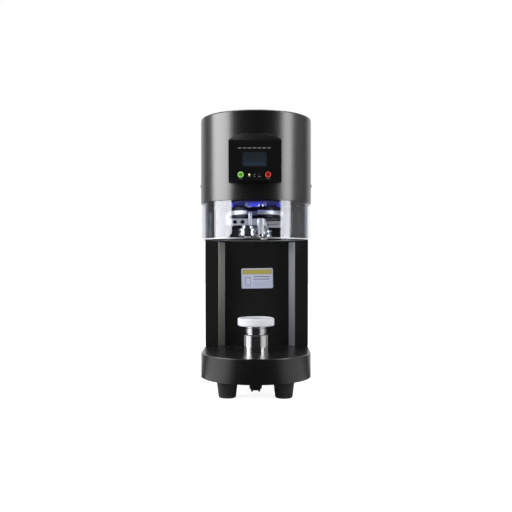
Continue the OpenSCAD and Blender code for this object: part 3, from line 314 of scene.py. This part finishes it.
def brushed(name, colour, rough, direction, metal=1.0, painted_shade_above=None):
    """Metal brushed along one axis, with the noise stretched along it, perhaps with painted shade
    above a height and darker low down
    """
    finish = Finish(bpy.data.materials.new(name))
    stretch = [brush_scale] * 3
    stretch["XYZ".index(direction)] = brush_scale / 90
    lines = finish.noise(1.0, 2.0, vector=finish.stretched(stretch))
    stain = finish.noise(30.0, 3.0)
    tone = finish.colour(lines, [c * 0.8 for c in colour], [min(c * 1.15, 1.0) for c in colour])
    if painted_shade_above:
        height = finish.axes()[2]
        darker_low = finish.spread(height, darken_from, darken_to, 0.0, darkest_low)
        tone = finish.colour(darker_low.at_least(height > painted_shade_above), tone, (0.008, 0.008, 0.008))
    return finish.paint(
        Base_Color=tone, Metallic=metal,
        Roughness=rough + (lines - 0.5) * 0.16 + (stain - 0.5) * 0.08,
        Normal=finish.bump(lines, 0.5, 0.00001))


# One brushed metal for both strips: the warm and the cool tint are painted light on each side.
trim_painted_warm = brushed("trim_painted_warm", (0.37, 0.36, 0.34), 0.45, "Z", metal=0.4, painted_shade_above=painted_shade_z)
dress(trim_painted_warm, "corner_trim_left")
trim_painted_cool = brushed("trim_painted_cool", (0.37, 0.366, 0.42), 0.45, "Z", metal=0.4, painted_shade_above=painted_shade_z)
dress(trim_painted_cool, "corner_trim_right")


# ---- Blank card in the bay ----
# A card of white vinyl stuck on the bay's back wall, a degree out of true.
# It is left for the owner's notes: a coloured head, ruled lines and the outline of a can.
def start(kind, name, **sizes):
    """Adds a primitive with nothing else selected, and puts its place into its mesh"""
    bpy.ops.object.select_all(action="DESELECT")
    getattr(bpy.ops.mesh, f"primitive_{kind}_add")(**sizes)
    piece = bpy.context.object
    piece.name = name
    bpy.ops.object.transform_apply()
    return piece


def pick(piece, kind, test):
    """Opens the piece in edit mode, with the edges or faces picked whose points pass the test"""
    bpy.context.view_layer.objects.active = piece
    bpy.ops.object.mode_set(mode="EDIT")
    bpy.ops.mesh.select_mode(type=kind)
    bpy.ops.mesh.select_all(action="DESELECT")
    bpy.ops.object.mode_set(mode="OBJECT")
    mesh = piece.data
    for part in mesh.edges if kind == "EDGE" else mesh.polygons:
        part.select = test([mesh.vertices[index].co for index in part.vertices])
    bpy.ops.object.mode_set(mode="EDIT")


def alike(values, target, slack=0.00002):
    """True where every value is the target, within a little slack"""
    return all(abs(value - target) < slack for value in values)


def finished(piece, body, slot, *materials, stands_for=()):
    """Closes a piece: its finish, its shading, and the CAD body that it rides on"""
    if piece.mode == "EDIT":
        bpy.ops.object.mode_set(mode="OBJECT")
    if piece.data.materials:
        piece.data.materials.clear()
    for material in materials:
        piece.data.materials.append(material)
    bpy.ops.object.select_all(action="DESELECT")
    piece.select_set(True)
    bpy.context.view_layer.objects.active = piece
    bpy.ops.object.shade_smooth_by_angle(angle=math.radians(35))
    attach(piece, body)
    if stands_for:
        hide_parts(*stands_for)


card_w = 0.0655
card_h = 0.0418
card_t = 0.0005
card_z = 0.2144
card_x = 0.0008
card_corner = 0.003
card_edge = 0.00012
card_tilt = math.radians(1.0)
low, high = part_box("corner_trim_left")
wall_y = high[1]
card = start("cube", "note_card", size=1.0, location=(card_x, wall_y - card_t / 2, card_z),
             scale=(card_w, card_t, card_h))
pick(card, "EDGE", lambda points: alike([p.x for p in points], points[0].x)
     and alike([p.z for p in points], points[0].z))
bpy.ops.mesh.bevel(offset=card_corner, segments=6)
pick(card, "FACE", lambda points: alike([p.y for p in points], wall_y - card_t))
bpy.ops.mesh.bevel(offset=card_edge, segments=2)
bpy.ops.mesh.select_all(action="SELECT")
bpy.ops.transform.rotate(value=card_tilt, orient_axis="Y", center_override=(card_x, wall_y, card_z))
finish = Finish(bpy.data.materials.new("card_print"))
x, y, z = finish.axes()
across = (x - card_x) * math.cos(card_tilt) + (z - card_z) * math.sin(card_tilt)
up = (z - card_z) * math.cos(card_tilt) - (x - card_x) * math.sin(card_tilt)


def block(u, v, centre_u, centre_v, half_u, half_v):
    """1 inside a rectangle of the print, 0 outside"""
    return (abs(u - centre_u) < half_u) * (abs(v - centre_v) < half_v)


heading = block(across, up, 0.0, 0.0134, 0.0306, 0.0051)
rows = block(across, up, 0.0096, 0.0036, 0.0176, 0.0009)
rows = rows + block(across, up, 0.0086, -0.0017, 0.0166, 0.0009)
thin_rows = sum(block(across, up, 0.0096, v, 0.0176, 0.00035) for v in (-0.0072, -0.0109, -0.0146))
can_u = -0.0191
can_v = -0.0055
can_outline = block(across, up, can_u, can_v, 0.0058, 0.0088)
can_outline = can_outline - block(across, up, can_u, can_v, 0.0048, 0.0078)
can_outline = can_outline + block(across, up, can_u, 0.0012, 0.0048, 0.0004)
border = block(across, up, 0.0, 0.0, 0.0322, 0.0203) - block(across, up, 0.0, 0.0, 0.0318, 0.0199)
ink = (0.03, 0.03, 0.04)
pale_ink = (0.10, 0.11, 0.14)
paper = finish.colour(finish.noise(60.0, 3.0), (0.41, 0.44, 0.57), (0.50, 0.53, 0.66))
print_colour = finish.colour(heading, paper, (0.36, 0.31, 0.075))
print_colour = finish.colour(thin_rows.at_most(1.0) * 0.55, print_colour, pale_ink)
print_colour = finish.colour((rows + can_outline).at_most(1.0) * 0.75, print_colour, ink)
print_colour = finish.colour(border * 0.4, print_colour, pale_ink)
card_print = finish.paint(Base_Color=print_colour, Roughness=0.38 + finish.noise(500.0, 2.0) * 0.06,
                          Specular_IOR_Level=0.4)
finished(card, "root", "white_nylon", card_print)

# ---- Feet, base plate and posts ----
# Moulded rubber feet, held by zinc-plated screws to the steel plate that closes the base.
# Two turned steel posts stand on that plate and carry the head.
finish = Finish(bpy.data.materials.new("foot_rubber"))
pores = finish.noise(1400.0, 3.0)
dust_height = 0.006
dust = finish.spread(finish.axes()[2], 0.0, dust_height, 1.0, 0.0) * finish.noise(120.0, 4.0)
foot_rubber = finish.paint(
    Base_Color=finish.colour(dust, (0.022, 0.022, 0.021), (0.09, 0.085, 0.078)),
    Roughness=0.62 + (pores - 0.5) * 0.2 + dust * 0.2,
    Specular_IOR_Level=0.3, Normal=finish.bump(pores, 0.4, 0.00003))
dress(foot_rubber, "rubber_feet")
zinc = brushed("zinc_plate", (0.50, 0.51, 0.53), 0.34, "X")
dress(zinc, "base_plate", "support_posts", "foot_screws")


# ---- Can lift ----
# The polished ram slides in a fixed chromed sleeve with a rubber wiper on top.
# Its screw turns in a ball bearing and a bronze nut, driven by a gear motor under the sleeve.
def turned(name, colour, rough, scale=2600.0, depth=0.000008, metal=1.0, **sockets):
    """Lathe-turned stock: fine rings around the can axis, on its faces and down its sides"""
    finish = Finish(bpy.data.materials.new(name))
    x, y, z = finish.axes()
    radius = (x ** 2 + (y - axis_y) ** 2) ** 0.5
    along = finish.node("CombineXYZ", X=radius * scale, Y=z * scale, Z=0.0)
    rings = finish.noise(1.0, 3.0, vector=along)
    stain = finish.noise(40.0, 3.0)
    groove = [c * 0.86 for c in colour]
    crest = [min(c * 1.1, 1.0) for c in colour]
    return finish.paint(
        Base_Color=finish.colour(rings, groove, crest), Metallic=metal,
        Roughness=rough + (rings - 0.5) * rough * 0.7 + (stain - 0.5) * rough * 0.3,
        Normal=finish.bump(rings, 0.4, depth), **sockets)


chrome = turned("sleeve_chrome", (0.84, 0.85, 0.87), 0.09, 1200.0, 0.000002)
dress(chrome, "lift_sleeve", "lift_ram")
dress(foot_rubber, "wiper_seal")
ground_steel = turned("ground_steel", (0.58, 0.59, 0.61), 0.24)
dress(ground_steel, "lift_bearing", "lift_screw", "table_screw")
bronze = turned("gear_bronze", (0.62, 0.43, 0.20), 0.30)
dress(bronze, "lift_gear", "lift_nut")
pinion_steel = turned("pinion_steel", (0.50, 0.51, 0.53), 0.28)
dress(pinion_steel, "lift_pinion")
motor_grey = powder_coat("motor_grey", (0.085, 0.09, 0.10), 0.42, 0.4, 0.00006)
dress(motor_grey, "lift_motor")
cap_black = powder_coat("moulded_black", (0.013, 0.013, 0.014), 0.38, 0.45, 0.00004)
dress(cap_black, "lift_motor_cap")

# ---- Can table ----
# A white nylon disc with a shallow recess for the can, turned on a lathe.
# Its fine turning rings show on the top and down the edge.
nylon = turned("table_nylon", (0.66, 0.67, 0.71), 0.40, 1700.0, 0.00001, 0.0,
               Specular_IOR_Level=0.4)
dress(nylon, "can_table")

# ---- Power supply, inlet and switch ----
# A black moulded inlet and a rocker in a black frame, both snapped into the back of the base.
# The rocker is signal red, with a ring and a bar for off and on printed on its ends in white.
# Inside, the supply's zinc-plated case stands on four short pillars.
dress(zinc, "power_supply")
dress(cap_black, "power_inlet", "switch_frame")
finish = Finish(bpy.data.materials.new("rocker_red"))
x, y, z = finish.axes()
low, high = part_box("power_rocker")
rocker_x = (low[0] + high[0]) / 2
off_z = low[2] + 0.0045
on_z = high[2] - 0.0048
ring_r = 0.0018
line_half = 0.0003
from_off = ((x - rocker_x) ** 2 + (z - off_z) ** 2) ** 0.5
mark = (abs(from_off - ring_r) < line_half) + block(x, z, rocker_x, on_z, line_half, 0.0021)
mark = mark.at_most(1.0) * (y > high[1] - 0.006)
grain = finish.noise(900.0)
rocker_red = finish.paint(
    Base_Color=finish.colour(mark, (0.30, 0.012, 0.010), (0.75, 0.75, 0.75)),
    Roughness=0.24 + grain * 0.05, Normal=finish.bump(grain, 0.3, 0.000004))
dress(rocker_red, "power_rocker")

# ---- Seaming drive ----
# A grey motor stands on a zinc-plated plate in the head, with a steel pinion on a bronze gear.
# The chuck's own ground shaft hangs from a plated bridge and passes down the hollow spindle.
dress(motor_grey, "main_motor")
dress(pinion_steel, "motor_pinion")
dress(bronze, "main_gear")
dress(zinc, "head_plate", "chuck_bridge")
dress(ground_steel, "spindle_bearing", "chuck_shaft")

# ---- Guard ----
# A tube of clear cast acrylic, hung from a black ring in the head, with a bevelled, polished rim.
# The front of the rim is pale and glows towards its sides and is dark in the middle: painted
# highlights and a painted glow. The back right of the wall mirrors far less, as painted shade.
dress(cap_black, "guard_ring")
low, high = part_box("guard")
guard_r = (high[0] - low[0]) / 2
guard_wall = 0.004
rim_h = 0.0018
rim_edge = 0.0009
guard = start("cylinder", "guard_tube", vertices=192, radius=guard_r, depth=high[2] - low[2],
              end_fill_type="NOTHING", location=(0.0, axis_y, (low[2] + high[2]) / 2))
wall = guard.modifiers.new("wall", "SOLIDIFY")
wall.thickness = guard_wall
wall.offset = -1.0
bpy.ops.object.modifier_apply(modifier="wall")
bpy.ops.object.mode_set(mode="EDIT")
bpy.ops.mesh.select_all(action="SELECT")
bpy.ops.mesh.bisect(plane_co=(0.0, 0.0, low[2] + rim_h), plane_no=(0.0, 0.0, 1.0))


def reach(point):
    """Distance from the can axis"""
    return math.hypot(point.x, point.y - axis_y)


pick(guard, "EDGE", lambda points: alike([p.z for p in points], low[2])
     and alike([reach(p) for p in points], reach(points[0])))
bpy.ops.mesh.bevel(offset=rim_edge, segments=4)
bpy.ops.object.mode_set(mode="OBJECT")
rim_top = low[2] + rim_h + 0.00002
for face in guard.data.polygons:
    heights = [guard.data.vertices[index].co.z for index in face.vertices]
    face.material_index = int(max(heights) < rim_top)
finish = Finish(bpy.data.materials.new("clear_acrylic"))
acrylic_ior = 1.6
reflection_shade = 0.85
leaving = finish.node("NewGeometry", out="Backfacing")
entry_shine = finish.node("Fresnel", IOR=acrylic_ior)
exit_shine = finish.node("Fresnel", IOR=1 / acrylic_ior)
edge = entry_shine * (1 - leaving) + exit_shine * leaving
x, y, z = finish.axes()
# Painted shade on the wall's reflections, at its back right.
shaded_back_right = (y > axis_y) * (x > 0)
edge = edge * (1 - shaded_back_right * reflection_shade)
shine = finish.node("BsdfGlossy", Color=(0.97, 0.97, 1.0), Roughness=0.015)
clear = finish.node("BsdfTransparent", Color=(0.93, 0.95, 0.98))
guard_clear = finish.output(finish.node("MixShader", i0=edge, i1=clear, i2=shine))
finish = Finish(bpy.data.materials.new("rim_painted_highlight"))
x, y, z = finish.axes()
# Painted highlights and glow on the rim's front, rising towards its sides.
floor_glow_and_rim_highlight = finish.spread(abs(x), 0.012, 0.056) * (y < axis_y)
rim_painted_highlight = finish.paint(
    Base_Color=finish.colour(floor_glow_and_rim_highlight, (0.16, 0.165, 0.18), (0.6, 0.6, 0.62)), Metallic=0.4,
    Roughness=0.18 + finish.noise(500.0) * 0.06, Emission_Strength=0.24,
    Emission_Color=finish.colour(floor_glow_and_rim_highlight, (0.0, 0.0, 0.0), (0.9, 0.9, 0.95)))
finished(guard, "root", "clear_guard", guard_clear, rim_painted_highlight, stands_for=["guard"])

# ---- Light strip ----
# A strip of blue diodes under a clear coat, bent into a ring inside the guard at the head's rim.
# The diodes sit at an even pitch, and those at the front are lit.
finish = Finish(bpy.data.materials.new("blue_leds"))
diode_count = 26.0
lit_y = axis_y - 0.025
x, y, z = finish.axes()
turn = (y - axis_y).angle_to(x)
diode = ((turn * diode_count).sine() > 0.1) * (y < lit_y)
led_blue = finish.paint(
    Base_Color=(0.05, 0.06, 0.4), Roughness=0.3, Emission_Strength=6.0,
    Emission_Color=finish.colour(diode, (0.002, 0.002, 0.03), (0.18, 0.19, 1.0)))
dress(led_blue, "led_ring")


# ---- Turret ----
# Blackened plates with a nickel-plated one between them, on a spindle and posts painted blue as
# painted light from the diodes.
# The spindle and the flange's underside also glow blue: painted light from the diodes.
def softened(node, width, body, slot, material):
    """A copy of a CAD piece with its sharp edges eased, as a file, a polish or paint leaves them"""
    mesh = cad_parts[node].data.copy()
    piece = bpy.data.objects.new(node + "_eased", mesh)
    bpy.context.collection.objects.link(piece)
    bpy.ops.object.select_all(action="DESELECT")
    piece.select_set(True)
    bpy.context.view_layer.objects.active = piece
    bpy.ops.object.mode_set(mode="EDIT")
    bpy.ops.mesh.select_all(action="SELECT")
    bpy.ops.mesh.remove_doubles(threshold=0.000002)
    bpy.ops.mesh.dissolve_limited(angle_limit=math.radians(0.3))
    bpy.ops.object.mode_set(mode="OBJECT")
    edge = piece.modifiers.new("edge", "BEVEL")
    edge.width = width
    edge.segments = 2
    edge.limit_method = "ANGLE"
    edge.angle_limit = math.radians(50)
    bpy.ops.object.modifier_apply(modifier="edge")
    finished(piece, body, slot, material, stands_for=[node])


plate_black = (0.022, 0.022, 0.025)
turret_black = turned("turret_black", plate_black, 0.32, 2200.0, 0.00001)
for node in ("turret_upper_plate", "turret_lower_plate"):
    softened(node, 0.0004, "turret", "turret_black", turret_black)
finish = Finish(bpy.data.materials.new("flange_painted_blue_glow"))
x, y, z = finish.axes()
low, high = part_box("turret_flange")
# Painted blue light from the diodes on the flange's underside: a blue colour and a glow.
painted_glow_under = z < low[2] + 0.0003
flange_painted_blue_glow = finish.paint(
    Base_Color=finish.colour(painted_glow_under, plate_black, (0.10, 0.105, 0.45)), Metallic=0.4,
    Roughness=0.3 + finish.noise(300.0) * 0.1, Emission_Strength=1.0,
    Emission_Color=finish.colour(painted_glow_under, (0.0, 0.0, 0.0), (0.022, 0.024, 0.12)))
softened("turret_flange", 0.0004, "turret", "turret_black", flange_painted_blue_glow)
nickel = turned("nickel_plate", (0.80, 0.79, 0.77), 0.40, 2200.0, 0.000008, 0.75)
softened("turret_middle_plate", 0.0004, "turret", "turned_steel", nickel)
dress(nickel, "spacer_posts")
# The posts' blue, and the spindle's blue and glow, are painted light from the diodes.
posts_painted_blue = turned("posts_painted_blue_light", (0.20, 0.21, 0.95), 0.34, 2200.0, 0.000006, 0.15)
dress(posts_painted_blue, "turret_posts")
spindle_painted_blue_glow = turned("spindle_painted_blue_glow", (0.12, 0.13, 0.80), 0.34, 2200.0, 0.000006, 0.15,
                      Emission_Color=(0.06, 0.064, 0.55, 1.0), Emission_Strength=1.0)
dress(spindle_painted_blue_glow, "turret_spindle")
roller_steel = turned("roller_steel", (0.74, 0.74, 0.76), 0.16)
dress(roller_steel, "feed_cone", "seaming_chuck", "first_roller", "second_roller", "pivot_posts")

# ---- Levers ----
# Milled steel levers, brushed along their length and satin nickel plated.
# The outer face of each split clamp has two dark discs for its screws: their own black, with
# painted shade in their sockets.
finish = Finish(bpy.data.materials.new("lever_nickel"))
x, y, z = finish.axes()
beside = abs(x)
low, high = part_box("front_lever")
clamp_z = low[2] + 0.0295
socket_r = 0.0039
outside = abs(y - axis_y) > axis_y - low[1] - 0.0042
# Dark discs for the clamp screws: partly their black, partly painted shade in the sockets.
socket = sum(((beside - clamp_x) ** 2 + (z - clamp_z) ** 2) < socket_r ** 2
             for clamp_x in (0.024, 0.038))
socket = socket * outside
lines = finish.noise(1.0, 2.0, vector=finish.stretched((30.0, 2600.0, 2600.0)))
nickel_tone = finish.colour(lines, (0.80, 0.79, 0.765), (0.93, 0.92, 0.895))
lever_nickel = finish.paint(
    Base_Color=finish.colour(socket, nickel_tone, (0.015, 0.015, 0.017)), Metallic=0.45,
    Roughness=0.42 + (lines - 0.5) * 0.16, Normal=finish.bump(lines, 0.4, 0.000006))
for node in ("front_lever", "rear_lever"):
    softened(node, 0.0003, node, "turned_steel", lever_nickel)

# ---- Control box and its face ----
# A folded steel box in the head's black, closed by a glossy moulded face.
# The face carries a row of plain dashes over the display and short ones under each button and lamp.
box_black = powder_coat("box_black", (0.0045, 0.0045, 0.005), 0.42, 0.15)
softened("control_box", 0.0006, "root", "black_shell", box_black)
low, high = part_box("control_fascia")
face_low_z = low[2]
face_y = low[1]
button_z = face_low_z + 0.012
controls_x = -0.001
title_z = face_low_z + 0.0586
finish = Finish(bpy.data.materials.new("face_black"))
x, y, z = finish.axes()
title_x = controls_x - 0.0002
title_half = 0.0286
dash_pitch = 0.00854
dash_w = 0.00594
dashes = ((x - title_x + title_half) % dash_pitch) < dash_w
title = block(x, z, title_x, title_z, title_half, 0.0007) * dashes
label_places = (
    (-0.0255, 0.0070, 0.0026),
    (-0.0102, 0.0035, 0.0025),
    (-0.0012, 0.0035, 0.0018),
    (0.0076, 0.0035, 0.0024),
    (0.0235, 0.0070, 0.0028),
)
labels = sum(block(x, z, label_x, button_z - drop, half, 0.0005)
             for label_x, drop, half in label_places)
marks = (title * 0.26 + labels * 0.16).at_most(1.0) * (y < face_y + 0.0001)
film = finish.noise(700.0, 2.0)
face_black = finish.paint(
    Base_Color=finish.colour(marks, (0.0048, 0.005, 0.0056), (0.80, 0.80, 0.82)),
    Roughness=0.17 + film * 0.03 + marks * 0.2, Specular_IOR_Level=0.5,
    Normal=finish.bump(film, 0.2, 0.000003))
softened("control_fascia", 0.0005, "root", "fascia_black", face_black)

# ---- Display and lamps ----
# A dark liquid-crystal window with a bluish lower band, set just behind the moulded face.
# Three round diode lamps stand in a row between the buttons, and the first is lit.
low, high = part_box("display_board")
board_y = high[1]
display_w = 0.0424
display_h = 0.0259
display_z = face_low_z + 0.0392
display_depth = 0.0008
window_y = face_y + display_depth
display = start("cube", "display_window", size=1.0,
                location=(controls_x, (board_y + window_y) / 2, display_z),
                scale=(display_w, board_y - window_y, display_h))
pick(display, "FACE", lambda points: alike([p.y for p in points], window_y))
bpy.ops.mesh.inset(thickness=0.0009)
bpy.ops.transform.translate(value=(0.0, 0.0002, 0.0))
finish = Finish(bpy.data.materials.new("display_glass"))
x, y, z = finish.axes()
down = display_z - z
band = block(x, down, controls_x, 0.0078, 0.0185, 0.0022)
digits = ((x + 0.1) % 0.0042) < 0.0028
bars = block(x, down, controls_x - 0.002, -0.002, 0.0145, 0.0034) * digits
border = 1 - block(x, down, controls_x, 0.0, display_w / 2 - 0.001, display_h / 2 - 0.001)
fade = finish.spread(down, -0.013, 0.013)
glass = finish.colour(fade, (0.0135, 0.0185, 0.0235), (0.0165, 0.0225, 0.031))
glass = finish.colour(band, glass, (0.019, 0.026, 0.052))
glass = finish.colour(bars * 0.5, glass, (0.010, 0.0145, 0.019))
glass = finish.colour(border * 0.2, glass, (0.008, 0.009, 0.011))
display_glass = finish.paint(Base_Color=glass, Roughness=0.12 + finish.noise(300.0) * 0.04)
finished(display, "root", "board", display_glass, stands_for=["display_board"])

lamp_r = 0.0016
lamp_y = face_y - 0.0002
face_lamps = {
    "ready_lamp": (-0.009, (0.50, 0.50, 0.22), (1.0, 0.95, 0.42), 1.4),
    "run_lamp": (0.0, (0.09, 0.09, 0.10), (0.4, 0.4, 0.5), 0.03),
    "fault_lamp": (0.008, (0.05, 0.008, 0.008), (0.5, 0.1, 0.1), 0.01),
}
for name, (shift, colour, light, strength) in face_lamps.items():
    lamp_x = controls_x + shift
    lamp = start("cylinder", name, vertices=40, radius=lamp_r, depth=board_y - lamp_y,
                 location=(lamp_x, (board_y + lamp_y) / 2, button_z),
                 rotation=(math.pi / 2, 0.0, 0.0))
    pick(lamp, "EDGE", lambda points: alike([p.y for p in points], lamp_y))
    bpy.ops.mesh.bevel(offset=0.0011, segments=5)
    finish = Finish(bpy.data.materials.new(name + "_lens"))
    x, y, z = finish.axes()
    from_centre = ((x - lamp_x) ** 2 + (z - button_z) ** 2) ** 0.5
    core = finish.spread(from_centre, 0.0, lamp_r, 1.0, 0.35)
    lens = finish.paint(
        Base_Color=colour, Roughness=0.15 + finish.noise(900.0) * 0.04, Emission_Strength=strength,
        Emission_Color=finish.colour(core, [c * 0.3 for c in light], light))
    finished(lamp, "root", "board", lens)

# ---- Buttons ----
# Moulded push buttons: a pale ring around a dished cap of a deeper colour.
# A collar behind the face keeps each in its hole, and a stem reaches back to its switch.
cap_r = 0.0052
collar_r = 0.0062
stem_r = 0.0022
ring_w = 0.0017
collar_t = 0.001
cap_back_y = face_y + 0.0023
buttons = {
    "start_button": ("green_button", (0.27, 0.62, 0.16), (0.075, 0.34, 0.012)),
    "stop_button": ("red_button", (0.53, 0.05, 0.045), (0.26, 0.003, 0.003)),
}
for name, (slot, ring_colour, cap_colour) in buttons.items():
    low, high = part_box(name)
    middle = Vector(((low[0] + high[0]) / 2, 0.0, (low[2] + high[2]) / 2))
    button = start("cylinder", name + "_cap", vertices=64, radius=cap_r,
                   depth=cap_back_y - low[1],
                   location=(middle.x, (low[1] + cap_back_y) / 2, middle.z),
                   rotation=(math.pi / 2, 0.0, 0.0))
    pick(button, "FACE", lambda points: alike([p.y for p in points], low[1]))
    bpy.ops.mesh.inset(thickness=ring_w)
    bpy.ops.mesh.inset(thickness=0.0003)
    bpy.ops.transform.translate(value=(0.0, 0.0005, 0.0))
    bpy.ops.mesh.inset(thickness=0.0016)
    bpy.ops.transform.translate(value=(0.0, 0.0003, 0.0))
    pick(button, "FACE", lambda points: alike([p.y for p in points], cap_back_y))
    steps = (
        (0.0, collar_r / cap_r),
        (collar_t, 1.0),
        (0.0, stem_r / collar_r),
        (high[1] - cap_back_y - collar_t, 1.0),
    )
    for shift, grow in steps:
        bpy.ops.mesh.extrude_region_move(TRANSFORM_OT_translate={"value": (0.0, shift, 0.0)})
        bpy.ops.transform.resize(value=(grow, 1.0, grow), center_override=tuple(middle))
    pick(button, "EDGE", lambda points: alike([p.y for p in points], low[1]) and alike(
        [math.hypot(p.x - middle.x, p.z - middle.z) for p in points], cap_r))
    bpy.ops.mesh.bevel(offset=0.0005, segments=3)
    bpy.ops.object.mode_set(mode="OBJECT")
    for face in button.data.polygons:
        points = [button.data.vertices[index].co - middle for index in face.vertices]
        dished = all(math.hypot(p.x, p.z) < cap_r - ring_w + 0.00005 for p in points)
        face.material_index = int(dished and all(p.y < face_y for p in points))
    ring = powder_coat(name + "_ring", ring_colour, 0.28, 0.5, 0.000004)
    cap = powder_coat(name + "_centre", cap_colour, 0.24, 0.5, 0.000004)
    finished(button, name, slot, ring, cap, stands_for=[name])

# ---- Screws ----
# Blackened steel screws with hex sockets, which hold the sheet pieces together.
# Those of the lid are countersunk; those on the sides and the back have low heads.
screw_black = powder_coat("black_oxide", (0.02, 0.02, 0.022), 0.33, 0.6, 0.00001)
dress(screw_black, "cap_screws")


def hex_screw(foot_r, face_r, head_h, shank_r, length, socket_r):
    """One screw along Z with its face at z = 0: a head, a hex socket in it, and a plain shank"""
    screw = start("cone", "screw", vertices=48, radius1=foot_r, radius2=face_r, depth=head_h,
                  location=(0.0, 0.0, -head_h / 2))
    pick(screw, "EDGE", lambda points: alike([p.z for p in points], 0.0))
    bpy.ops.mesh.bevel(offset=0.00025, segments=3)
    pick(screw, "FACE", lambda points: alike([p.z for p in points], -head_h))
    bpy.ops.mesh.inset(thickness=max(foot_r - shank_r, 0.00005))
    bpy.ops.mesh.extrude_region_move(TRANSFORM_OT_translate={"value": (0.0, 0.0, head_h - length)})
    bpy.ops.object.mode_set(mode="OBJECT")
    key = start("cylinder", "key", vertices=6, radius=socket_r, depth=head_h * 1.4)
    bpy.context.view_layer.objects.active = screw
    cut = screw.modifiers.new("socket", "BOOLEAN")
    cut.object = key
    cut.operation = "DIFFERENCE"
    bpy.ops.object.modifier_apply(modifier="socket")
    bpy.data.objects.remove(key)
    return screw


def screw_set(name, *groups):
    """Copies screws to their places, joins them, and puts them in the CAD node's stead"""
    copies = []
    for screw, spots in groups:
        for place, facing in spots:
            copy = screw.copy()
            copy.data = screw.data.copy()
            bpy.context.collection.objects.link(copy)
            copy.location = place
            copy.rotation_euler = Vector(facing).to_track_quat("Z", "Y").to_euler()
            copies.append(copy)
        bpy.data.objects.remove(screw)
    bpy.ops.object.select_all(action="DESELECT")
    for copy in copies:
        copy.select_set(True)
    bpy.context.view_layer.objects.active = copies[0]
    bpy.ops.object.transform_apply()
    bpy.ops.object.join()
    copies[0].name = name + "_hex"
    finished(copies[0], "root", "black_screw", screw_black, stands_for=[name])


upward = (0.0, 0.0, 1.0)
backward = (0.0, 1.0, 0.0)
leftward = (-1.0, 0.0, 0.0)
rightward = (1.0, 0.0, 0.0)

low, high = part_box("lid_screws")
countersunk = hex_screw(0.002, 0.004, 0.002, 0.002, 0.009, 0.0015)
spots = [((side * x, y, high[2]), upward) for side in (-1, 1)
         for x, y in ((0.076, high[1] - 0.004), (0.060, low[1] + 0.004))]
screw_set("lid_screws", (countersunk, spots))

low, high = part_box("rear_cover_screws")
cover_r = 0.0032
cover_screw = hex_screw(cover_r, 0.0028, 0.0009, 0.0019, 0.0054, 0.0012)
heights = (low[2] + cover_r, (low[2] + high[2]) / 2, high[2] - cover_r)
spots = [((x, high[1], z), backward) for x in (low[0] + cover_r, high[0] - cover_r)
         for z in heights]
screw_set("rear_cover_screws", (cover_screw, spots))

low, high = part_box("housing_screws")
flank_r = 0.0038
flank_screw = hex_screw(flank_r, 0.0031, 0.0012, 0.002, 0.0132, 0.0014)
flank_spots = [((x, y, low[2] + flank_r), facing)
               for x, facing in ((low[0], leftward), (high[0], rightward))
               for y in (axis_y, high[1] - flank_r)]
box_half_w = 0.0474
box_r = 0.0028
box_screw = hex_screw(box_r, 0.0022, 0.001, 0.0015, 0.0055, 0.0010)
box_spots = [((x, low[1] + box_r, high[2] - box_r), facing)
             for x, facing in ((-box_half_w, leftward), (box_half_w, rightward))]
screw_set("housing_screws", (flank_screw, flank_spots), (box_screw, box_spots))
